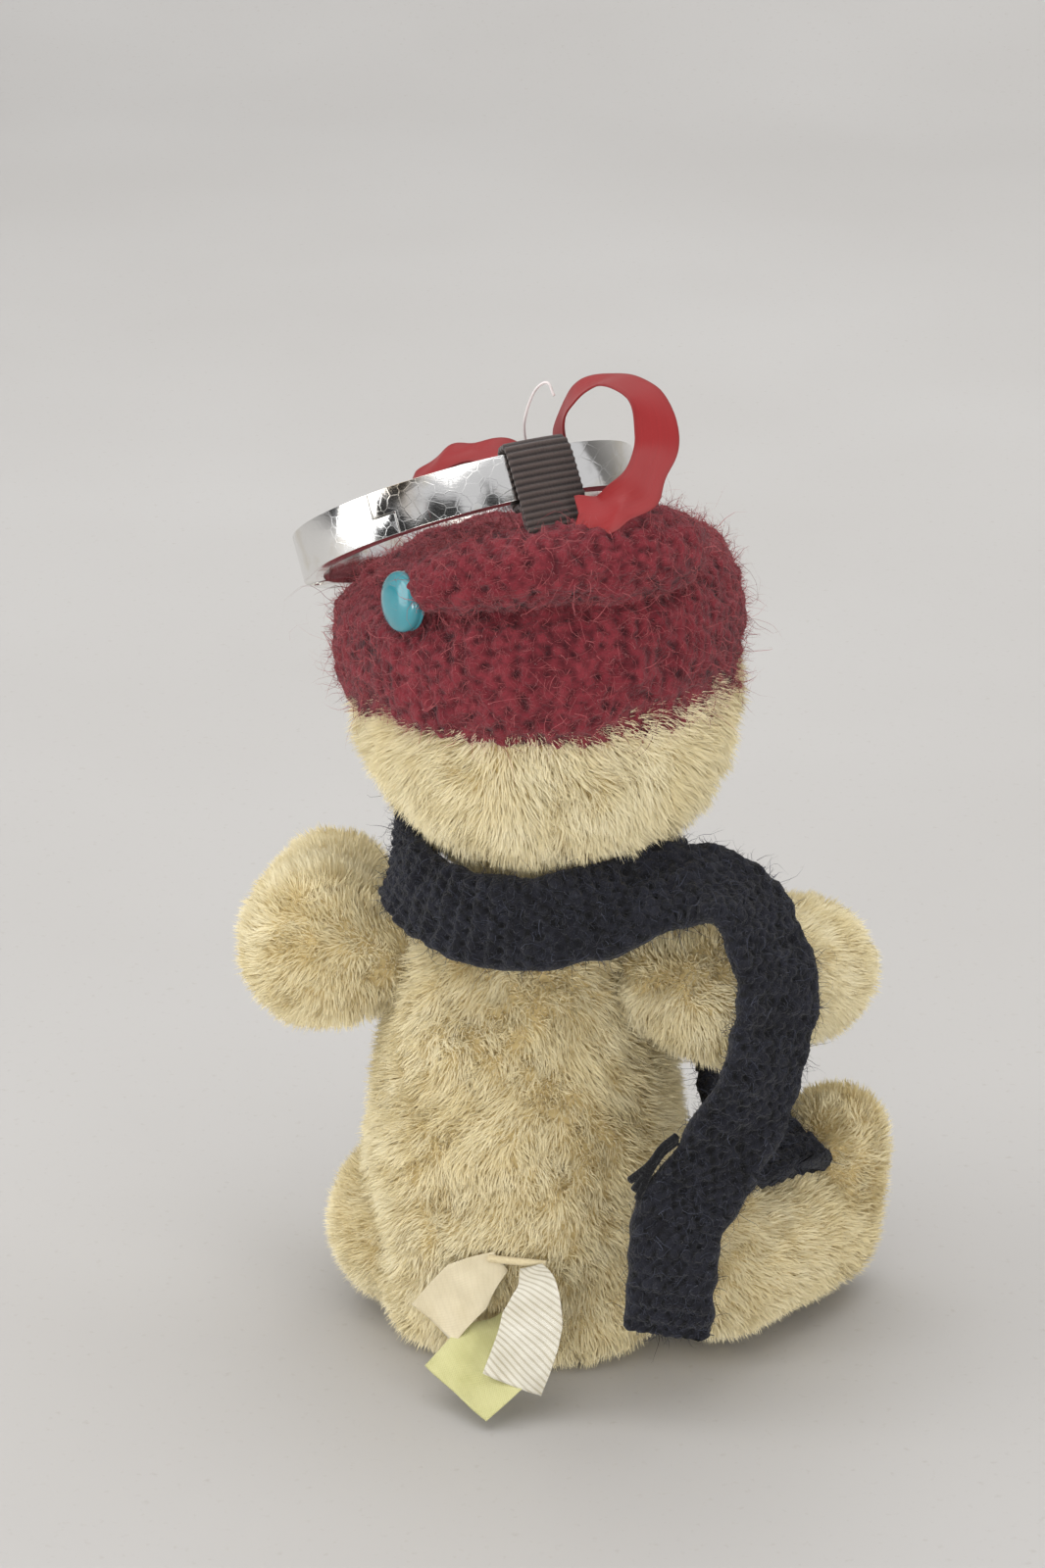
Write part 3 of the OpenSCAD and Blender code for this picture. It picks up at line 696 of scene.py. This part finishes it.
def torso_comb(p):
    return np.stack([0.35 * ripple(p, 9, 71), 0.35 * ripple(p, 9, 72), -np.ones(len(p))], 1)


plush("torso", torso, "torso", ["torso_skin", "torso_stuffing"], torso_comb, length=1.5, lay=0.22,
      seed=21, ruffle=0.55, slack=0.3, per_mm2=22, width=0.15,
      keep=lambda p: (p[:, 2] < 49) & (p[:, 2] > 0.4))


head_profile = [(51.3, 0.4), (51.4, 4), (52.6, 7.6)] + [
    (HEAD_LEVEL + (head_radius - INSET) * math.sin(a), (head_radius - INSET) * math.cos(a))
    for a in np.radians([-60, -48, -36, -24, -12, 0])] + [
    (HEAD_LEVEL + 13.4 * math.sin(a), (head_radius - INSET) * math.cos(a))
    for a in np.radians([14, 30, 48, 66, 82])] + [(HEAD_LEVEL + 13.4, 0.4)]
head = lathe("head", head_profile, (head_mid[0], head_mid[1]), seed=13, wobble=0.4)


def head_comb(p):
    """Down and outwards from the middle of the back of the head."""
    away = p - np.array([head_mid[0], 0, 74])
    swirl = np.stack([0.3 * ripple(p, 8, 31 + k) for k in range(3)], 1)
    return unit(away * [1, 0, 1]) + [0, 0, -0.5] + swirl


plush("head", head, "head", ["head_skin", "head_stuffing"], head_comb, length=1.8, lay=0.3, seed=41,
      ruffle=0.6, per_mm2=22, width=0.145, keep=lambda p: (p[:, 2] < 78) & (p[:, 2] > 51.6))

ARMS = {"left": [(21.3, 2, 41), (22.8, -5, 41.3), (24.5, -13.5, 41)],
        "right": [(-21.3, 2, 40.5), (-24, -5, 39.4), (-27, -12, 37.5)]}
ARM_SIZE = {"left": [7.7, 7.0, 5.8], "right": [7.7, 7.4, 6.7]}
for k, side in enumerate(("left", "right")):
    out = 1 if side == "left" else -1
    inner = [(out * 14.4, 2.2, 40.6), *ARMS[side]]
    arm = melted("arm_" + side, [ball_chain("arm_" + side, inner, [5.0, *ARM_SIZE[side]])], 0.5, 6)
    plush("arm_" + side, arm, side + "_arm",
          ["arm_skin_" + side, "arm_stuffing_" + side, "arm_disc_" + side, "arm_washer_" + side],
          unit([out * 0.75, -0.5, -0.5]), length=1.4, lay=0.26, seed=51 + k, ruffle=0.6, per_mm2=22,
          width=0.15)

LEGS = {"left": [(12.2, 0, 9.9), (13.3, -7, 9), (13.7, -13, 7)],
        "right": [(-20, 0, 9.9), (-25, -7, 9), (-29, -13, 7.2)]}
FEET = {"left": [(13.7, -13.6, 7), (14, -14.6, 12), (14.2, -15, 16.5)],
        "right": [(-29, -13.6, 7.2), (-29.8, -14.2, 12), (-30.2, -14.5, 17)]}
for k, side in enumerate(("left", "right")):
    thigh = ball_chain("leg_" + side, LEGS[side], [8.6, 7.4, 5.6])
    foot = ball_chain("foot_" + side, FEET[side], [5.5, 5.3, 5.3])
    leg = melted("leg_" + side, [thigh, foot], 0.5, 8)
    points, _ = places(leg)
    points[:, 2] = np.maximum(points[:, 2], 0.5)
    move_to(leg, points)

    def leg_comb(p, side=side):
        """Forwards along the thigh, and up the foot."""
        foot_share = np.clip((-p[:, 1] - 8) / 5, 0, 1)[:, None]
        forward = unit([0.6 if side == "left" else -0.6, -0.6, -0.6])
        return forward * (1 - foot_share) + np.array([0, 0.25, 0.9]) * foot_share

    plush("leg_" + side, leg, side + "_leg",
          ["leg_skin_" + side, "leg_stuffing_" + side, "leg_disc_" + side, "leg_washer_" + side],
          leg_comb, length=1.3, lay=0.24, seed=61 + k, ruffle=0.5, per_mm2=22, width=0.15,
          keep=lambda p, side=side: ~((p[:, 1] < FEET[side][1][1] - 4.4) & (np.hypot(
              p[:, 0] - FEET[side][1][0], p[:, 2] - FEET[side][1][2]) < 4.6)))
    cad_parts["sole_" + side].data.materials.clear()
    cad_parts["sole_" + side].data.materials.append(FELT)


# ---- the face ----

muzzle_lo, muzzle_hi = node_mm("muzzle")
muzzle_mid = np.array([(muzzle_lo[0] + muzzle_hi[0]) / 2, -16.4, 63])
muzzle = melted("muzzle", [ball_chain("muzzle", [muzzle_mid + [0, 1.5, 0], muzzle_mid + [0, -1.6, 0.2]],
                                      [6.4, 5.6])], 0.5, 6)
plush("muzzle", muzzle, "head", ["muzzle"], lambda p: unit(p - muzzle_mid) * [1, 0.2, 1], length=1.5,
      lay=0.5, seed=81, ruffle=0.35, per_mm2=16, keep=lambda p: p[:, 1] < -14)

for name, material in (("nose", BROWN), ("eye_left", BLACK), ("eye_right", BLACK),
                       ("mouth_stitch", DARK_THREAD),
                       ("label_stitch", THREAD), ("strap_stitches", DARK_THREAD),
                       ("neck_disc", CLEAR), ("neck_washer", STEEL), ("nose_washer", CLEAR),
                       ("eye_washer_left", CLEAR), ("eye_washer_right", CLEAR), ("gate_pin", STEEL),
                       ("gate_spring", STEEL)):
    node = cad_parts[name]
    node.data.materials.clear()
    node.data.materials.append(material)


# ---- the hat ----

# The key ring's place and sizes, which the hat makes room for
RING = np.array([5.8, 1.5, 88.6])
RING_TURN = turned(21.5, 1) @ turned(20, 0)
RING_R, BAND_T, BAND_W, STRAP_AT = 16.5, 2.0, 4.6, 136
NOSE_AT = math.radians(88)   # where the plating is rubbed to brass by the gate
BRIM = np.array([-2.0, 0.0, 73.2])   # the middle of the band's lower edge
BRIM_TURN = turned(9, 1) @ turned(-2, 0)


def hat_band():
    """The turned-up band round the head, thick and a little slack."""
    rows, sides = 40, 150
    section = [(18.4, 0.6), (19.3, -0.4), (20.2, 0.4), (20.6, 3), (20.4, 6), (19.6, 9), (17.8, 10.9),
               (15.8, 11.2), (15.6, 8), (17.6, 4), (18.1, 2)]
    loop = smooth_path([(r, z, 0) for r, z in section] + [(*section[0], 0)], 5)[:-1]
    rings = []
    for a in np.linspace(0, 2 * math.pi, sides, endpoint=False):
        out = np.array([math.cos(a), math.sin(a), 0])
        sag = 0.5 * math.sin(2 * a + 0.6) + 0.35 * math.sin(5 * a + 2) + 0.25 * math.sin(9 * a)
        rings.append([out * (r + 0.25 * math.sin(3 * a + 1)) + UP * (z + sag * max(0, 1 - z / 8))
                      for r, z, _ in loop])
    points = np.array(rings) @ BRIM_TURN.T + BRIM
    return loft("hat_band", points, closed=True)


def hat_crown():
    """The crown, which lies low over the head."""
    a = np.linspace(0, 2 * math.pi, 72, endpoint=False)
    rings = []
    for r, z in smooth_path([[19.4, 71, 0], [19.6, 76, 0], [18.8, 80, 0], [15.6, 84, 0], [10, 86.2, 0],
                             [4, 86.9, 0], [0.3, 87, 0]], 6)[:, :2]:
        rings.append([(BRIM[0] + r * math.cos(t), BRIM[1] + r * math.sin(t), z) for t in a])
    return loft("hat_crown", rings)


def hat_roll():
    """The crown's slack, rolled down over the back of the band."""
    path = [(8.8, 15.4, 85.6), (5.6, 16.3, 86.6), (1, 16.7, 87.8), (-5, 16.4, 88.8), (-11, 14.4, 89.4),
            (-16, 10.6, 89.4), (-18, 5, 88.6)]
    line, out, _ = even_path(path, [(0.5, 1, 0), (0.3, 1, 0), (0, 1, 0), (-0.1, 1, 0), (-0.4, 1, 0),
                                    (-0.9, 0.6, 0), (-1, 0, 0)], 0.7)
    a = np.linspace(0, 2 * math.pi, 48, endpoint=False)
    rings = []
    n = len(line)
    for i, (p, o) in enumerate(zip(line, out)):
        t = i / (n - 1)
        full = (1 - abs(2 * t - 1) ** 5) ** 0.5 * 0.995 + 0.005
        tall, deep = 4.3 * full * (0.9 + 0.14 * t), 4.3 * full
        sag = -0.3 * full
        rings.append([p + o * (deep * math.cos(x) - 0.4) + UP * (tall * math.sin(x) + sag) for x in a])
    return loft("hat_roll", rings)


hat = melted("hat", [hat_band(), hat_crown(), hat_roll()], 0.34, 3)


def knit_height(p, centre, column=1.7, row=1.25):
    """How high the fulled stitches stand: two slanting lobes to a stitch, blurred by felting."""
    a = np.arctan2(p[:, 1] - centre[1], p[:, 0] - centre[0]) * 20.5 / column
    u = a - np.floor(a)
    v = (p[:, 2] + 0.5 * ripple(p, 6, 91)) / row + 0.55 * np.abs(2 * u - 1)
    lobes = 0.5 + 0.5 * np.cos(2 * math.pi * v)
    gutter = np.abs(np.sin(math.pi * u)) ** 0.5
    blur = 0.5 + 0.5 * ripple(p, 5, 92)
    return (lobes * 0.6 + gutter * 0.4) * np.clip(0.45 + 0.5 * blur, 0.2, 1)


points, normals = places(hat)
level = (points - BRIM) @ BRIM_TURN
stitch = 0.6 * knit_height(level + BRIM, BRIM) + 0.2 + 0.32 * ripple(points, 0.8, 93)
swell = 0.55 * ripple(points, 3.4, 94) + 0.3 * ripple(points, 1.5, 95)
move_to(hat, points + normals * (0.5 * (stitch - 0.6) + 0.45 * swell)[:, None])

# The knit is pressed down where the ring lies and turns
points, _ = places(hat)
local = (points - RING) @ RING_TURN
lowest = -BAND_W / 2 - 0.6
reach = np.abs(np.hypot(local[:, 0], local[:, 1]) - RING_R)
under_ring = (reach < BAND_T / 2 + 0.6) & (np.abs(local[:, 2]) < -lowest)
local[under_ring, 2] = lowest
move_to(hat, local @ RING_TURN.T + RING)
# the stitch height also sets the painted shade in the hollows of the hat's knit
give(hat.data, "stitch", stitch)
dress(hat, "head", HAT_WOOL, "maroon_knit", "hat")
dress(fuzz("hat_fuzz", hat, 30000, 1.6, 0.055, 101, stand=0.16), "head", HAT_FIBRE, "maroon_knit")
dress(fuzz("hat_flyaways", hat, 1300, 3.6, 0.045, 102, stand=0.7, curl=0.8, links=8), "head", HAT_FIBRE,
      "maroon_knit")


def domed_button(centre, facing, radius, rise):
    """A glossy button with a low dome and a rolled edge."""
    out = unit(facing)
    side = unit(np.cross(UP, out))
    up = np.cross(out, side)
    a = np.linspace(0, 2 * math.pi, 64, endpoint=False)
    outline = smooth_path([[0.02, -1.4, 0], [0.9, -1.4, 0], [0.97, -0.9, 0], [1, -0.35, 0], [0.96, 0.1, 0],
                           [0.84, 0.42, 0], [0.5, 0.85, 0], [0.02, 1, 0]], 5)[:, :2]
    rim = np.outer(np.cos(a), side) + np.outer(np.sin(a), up)
    rings = [np.array(centre) + out * h * rise + radius * r * rim for r, h in outline]
    return loft("button", rings)


dress(domed_button((9.0, 17.2, 84.2), (0.68, 0.73, 0.08), 3.0, 0.9), "head", TEAL, "teal_plastic",
      "hat_button", "button_thread")


# ---- strips of cloth ----

def section_strip(name, path, normals, width, thick, step, corner=0.5, sides=10, relief=None,
                  taper=None):
    """A strip of cloth with a rounded edge, along a given route. relief(s, u) raises its faces."""
    line, out, at = even_path(path, normals, step)
    along = unit(np.gradient(line, axis=0))
    across = unit(np.cross(along, out))
    out = np.cross(across, along)
    flat = np.linspace(-1, 1, sides)
    edge = np.linspace(-80, 80, 5)
    half = width / 2 - thick / 2 * corner
    loop = [(u * half, thick / 2, u) for u in flat]
    turn = [(thick / 2 * corner * math.cos(math.radians(e)), thick / 2 * math.sin(math.radians(e)))
            for e in edge]
    loop += [(half + x, -y, 1) for x, y in turn]
    loop += [(-u * half, -thick / 2, -u) for u in flat]
    loop += [(-half - x, y, -1) for x, y in turn]
    rings, s_all, u_all = [], [], []
    for i in range(len(line)):
        grow = 1 if taper is None else taper(at[i], at[-1])
        ring = []
        for x, y, u in loop:
            lift = 0 if relief is None else relief(at[i], x) * (1 if y > 0 else -1)
            ring.append(line[i] + across[i] * x * grow + out[i] * (y * grow + lift))
            s_all.append(at[i])
            u_all.append(x)
        rings.append(ring)
    made = loft(name, rings)
    ends = [0.0, at[-1]]
    give(made.data, "along", np.array(s_all + ends))
    give(made.data, "across", np.array(u_all + [0.0, 0.0]) / width)
    rim = (np.abs(np.array(u_all + [0.0, 0.0])) / (width / 2) - 0.8) / 0.2
    give(made.data, "edge", np.clip(rim, 0, 1))
    return made, at[-1]


# The scarf's middle line, from its front end round the neck to its back end, and the way it faces
SCARF = [(-28.4, 0.4, 20), (-23.4, -5.4, 21.8), (-18.4, -12.4, 23.8), (-14.2, -19, 30.6),
         (-12.8, -18.6, 39),
         (-11.2, -15.4, 46.8), (-7, -14.2, 51), (-1, -14.6, 51.8), (6, -12.2, 53.4), (10.8, -6.8, 54),
         (12.2, 2, 54.2), (10.1, 10.2, 53), (4.4, 14.8, 51.4), (-3, 16, 51), (-10, 14, 52.2),
         (-17, 9.8, 54.4), (-23.8, 9, 53), (-28, 11.2, 45.4), (-27, 13.8, 35.6), (-22.8, 16.6, 27.4),
         (-20, 19.2, 22), (-19.6, 20.6, 16.4), (-19.2, 21, 10.6)]
SCARF_OUT = [(0, 0.1, 1), (-0.1, -0.1, 1), (-0.3, -0.7, 0.9), (-0.2, -1, 0.2), (-0.1, -1, 0.2),
             (-0.3, -1, 0.5), (-0.3, -1, 0.3), (0, -1, 0.2), (0.5, -0.8, 0.1), (0.9, -0.4, 0.1),
             (1, 0.2, 0.1), (0.7, 0.8, 0.2), (0.3, 1, 0.25), (-0.1, 1, 0.3), (-0.4, 1, 0.45),
             (-0.3, 0.9, 0.9), (-0.5, 0.5, 1), (-0.9, 0.9, 0.5), (-0.8, 1, 0), (-0.5, 1, 0.2),
             (-0.2, 1, 0.25), (-0.1, 1, 0.1), (0, 1, 0)]
SCARF_WIDTH, SCARF_THICK = 9.2, 2.2
GARTER_ROW, GARTER_STITCH = 1.7, 1.25


def scarf_relief(s, x):
    """Garter ridges across the scarf, with the stitches showing along each."""
    ridge = math.cos(2 * math.pi * s / GARTER_ROW)
    bead = math.cos(2 * math.pi * (x / GARTER_STITCH + 0.5 * math.floor(s / (GARTER_ROW / 2) + 0.5)))
    return 0.2 * ridge + 0.16 * bead


scarf, scarf_length = section_strip("scarf", SCARF, SCARF_OUT, SCARF_WIDTH, SCARF_THICK, 0.26, 0.9, 30,
                                    scarf_relief)
points, normals = places(scarf)
lumps = 0.22 * ripple(points, 1.6, 111) + 0.3 * ripple(points, 5, 112)
# the garter stitch height also sets the painted shade in the hollows of the scarf's knit
give(scarf.data, "stitch", 0.5 + 0.5 * np.cos(2 * math.pi * given(scarf.data, "along") / GARTER_ROW)
     * np.cos(2 * math.pi * given(scarf.data, "across") * SCARF_WIDTH / GARTER_STITCH)
     + 0.35 * ripple(points, 1, 113))
move_to(scarf, points + normals * lumps[:, None])
dress(scarf, "torso", SCARF_WOOL, "navy_knit", "scarf")
scarf_fuzz = fuzz("scarf_fuzz", scarf, 22000, 1.4, 0.055, 121, stand=0.16)
dress(scarf_fuzz, "torso", SCARF_FIBRE, "navy_knit")
scarf_fly = fuzz("scarf_flyaways", scarf, 900, 3.2, 0.045, 122, stand=0.45, curl=1.5, links=9)
dress(scarf_fly, "torso", SCARF_FIBRE, "navy_knit")
for k in range(3):
    end = np.array([-15.9 + 0.5 * k, 20.2 - 0.4 * k, 24.4 + 0.8 * k])
    yarn = tube("loose_yarn_%d" % (k + 1), [(-19.2, 17.4, 29.8 + 0.3 * k), (-18, 18.8, 29 + 0.3 * k),
                                             (-16.9, 19.6, 27.2 + 0.4 * k), end], 0.4)
    dress(yarn, "torso", SCARF_WOOL, "navy_knit")
scarf_length * MM


def label(name, path, normals, width, material, slot, node):
    raised = [(x, y, z + 1.1) for x, y, z in path]
    made, _ = section_strip(name, raised, normals, width, 0.22, 0.3, 0.5, 14,
                            taper=lambda s, whole: 0.4 + 0.6 * min(1, s / (0.45 * whole)))
    points, _ = places(made)
    crumple = 0.45 * ripple(points, 4.2, 131) + 0.16 * ripple(points, 1.6, 132)
    moved = points + np.outer(crumple, [0, 1, 0.3])
    moved[:, 2] = np.maximum(moved[:, 2], 0.25 + 0.05 * np.abs(crumple))
    move_to(made, moved)
    dress(made, "torso", material, slot, node)


label("label_satin_tape", [(-1.1, 17.2, 13.4), (1.3, 18.3, 11.6), (3.7, 18.9, 9), (5.5, 19.3, 6.6)],
      [(0, 1, 0.2), (0, 1, 0.25), (0.1, 1, 0.2), (0.2, 1, 0.1)], 6, LABEL_CREAM, "satin_label",
      "label_satin")
label("label_care_tape", [(-4.5, 18, 13.6), (-5.5, 20.4, 11.9), (-5.1, 22.4, 7.4), (-3.7, 23.4, 2.8)],
      [(0, 1, 0.8), (0.1, 1, 0.6), (0, 1, 0.4), (-0.15, 1, 0.3)], 6.4, LABEL_WHITE, "satin_label",
      "label_care")
label("label_fold_tape", [(-3.2, 17.3, 7.2), (-2.4, 19.4, 5.8), (-0.4, 21.9, 3.8), (2, 24.4, 1.6)],
      [(0, 1, 0.8), (0, 1, 0.9), (0, 0.8, 1), (0.1, 0.7, 1)], 9.6, LABEL_LIME, "yellow_label", "label_fold")


# ---- the key ring, its strap and the satin ribbon ----

def on_ring(points):
    return np.asarray(points, float) @ RING_TURN.T + RING


def bevelled(name, node, body, width):
    """The CAD part with its edges broken, as polished metal has them."""
    made = bpy.data.objects.new(name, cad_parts[node].data.copy())
    bpy.context.scene.collection.objects.link(made)
    weld = made.modifiers.new("weld", "WELD")
    weld.merge_threshold = 0.002 * MM
    edge = made.modifiers.new("edge", "BEVEL")
    edge.width, edge.segments, edge.limit_method, edge.angle_limit = width * MM, 3, "ANGLE", 0.7
    edge.harden_normals = False
    made = applied(made)
    made.data.shade_smooth()
    made.data.set_sharp_from_angle(angle=0.6)
    points, _ = places(made)
    near = np.linalg.norm(points - NOSE, axis=1)
    give(made.data, "rub", np.clip(1 - near / 3.2, 0, 1) ** 2)
    dress(made, body, CHROME, "chrome", node)


NOSE = on_ring([[RING_R * math.cos(NOSE_AT), RING_R * math.sin(NOSE_AT), BAND_W / 2]])[0]
bevelled("ring_band", "ring_frame", "ring", 0.3)
bevelled("ring_gate", "gate", "gate", 0.25)


STRAP_RIB = 0.68         # from one rib of the grosgrain to the next


def strap_piece():
    """The woven strap: round the band, then both layers down into the hat."""
    inner, outer, top = RING_R - BAND_T / 2 - 0.55, RING_R + BAND_T / 2 + 0.55, BAND_W / 2 + 0.55
    route = [(outer + 0.25, -7.6), (outer + 0.2, -4), (outer + 0.1, -1), (outer, 1.6), (outer - 0.5, top),
             (RING_R, top + 0.15), (inner + 0.5, top), (inner, 1.6), (inner, -1.6), (inner + 0.5, -top),
             (RING_R, -top - 0.1), (outer - 0.5, -top - 0.3), (outer - 0.35, -4.4), (outer - 0.3, -7.6)]
    side = [(1, 0), (1, 0), (1, 0), (1, 0.3), (0.6, 1), (0, 1), (-0.6, 1), (-1, 0.3), (-1, -0.3),
            (-0.6, -1), (0, -1), (-0.5, -1), (-1, -0.1), (-1, 0)]
    made, length = section_strip("grosgrain_strap", [(r, 0, z) for r, z in route],
                                 [(a, 0, b) for a, b in side], 6.4, 0.5, 0.085, 0.6, 12,
                                 lambda s, x: 0.085 * math.cos(2 * math.pi * s / STRAP_RIB))
    points, _ = places(made)
    angle = np.radians(STRAP_AT) + points[:, 1] / RING_R
    points = np.stack([points[:, 0] * np.cos(angle), points[:, 0] * np.sin(angle), points[:, 2]], 1)
    move_to(made, on_ring(points))
    # the rib height also sets the painted shade between the strap's ribs
    give(made.data, "stitch", 0.5 + 0.5 * np.cos(2 * math.pi * given(made.data, "along") / STRAP_RIB))
    dress(made, "strap", STRAP_WEAVE, "grosgrain", "strap")


strap_piece()

RIBBON = [(-8.2, 15.4, 93.4), (-11.6, 15.8, 94.2), (-14.6, 15.2, 97.2), (-15.8, 13.8, 101.2),
          (-14, 11.6, 104.8), (-10.4, 9.8, 105.6), (-6.6, 8, 103.6), (-5, 6.4, 100.8),
          (-4.4, 4.4, 97.6), (-3.4, 3.8, 95), (-0.6, 3.8, 95.7), (3, 4.2, 96.2), (7.2, 3.8, 95),
          (10.2, 3.6, 92.4), (12, 3, 89.8)]
RIBBON_OUT = [(0.2, 1, 0.6), (0, 1, 0.3), (-0.2, 1, -0.2), (-0.5, 1, 0), (-0.7, 0.5, 0.8),
              (-0.1, 0.1, 1), (0.8, 0.2, 0.6), (1, 0.3, 0.2), (1, 0.6, 0), (0.8, 0.4, 0.8),
              (0, 0.3, 1), (0.1, 0.3, 1), (0.4, 0.3, 1), (0.8, 0.3, 0.8), (1, 0.2, 0.4)]
ribbon, _ = section_strip("satin_ribbon", RIBBON, RIBBON_OUT, 4.3, 0.22, 0.3, 0.5, 16,
                          lambda s, x: 0)
points, _ = places(ribbon)
creases = np.stack([0.42 * ripple(points, 2.6, 151), 0.2 * ripple(points, 2.2, 152),
                    0.3 * ripple(points, 2.8, 153)], 1)
move_to(ribbon, points + creases * np.clip((102 - points[:, 2:]) / 6, 0.25, 1))
dress(ribbon, "strap", SATIN, "red_satin", "ribbon_loop")

filament = tube("tag_filament", [(-1.4, 6.4, 96.8), (-1, 6.2, 99.8), (-2, 6.4, 103), (-3.4, 6.8, 104.2),
                                 (-4.2, 7.2, 103)], 0.14)
dress(filament, "strap", CLEAR, "clear_plastic", "tag_fastener")
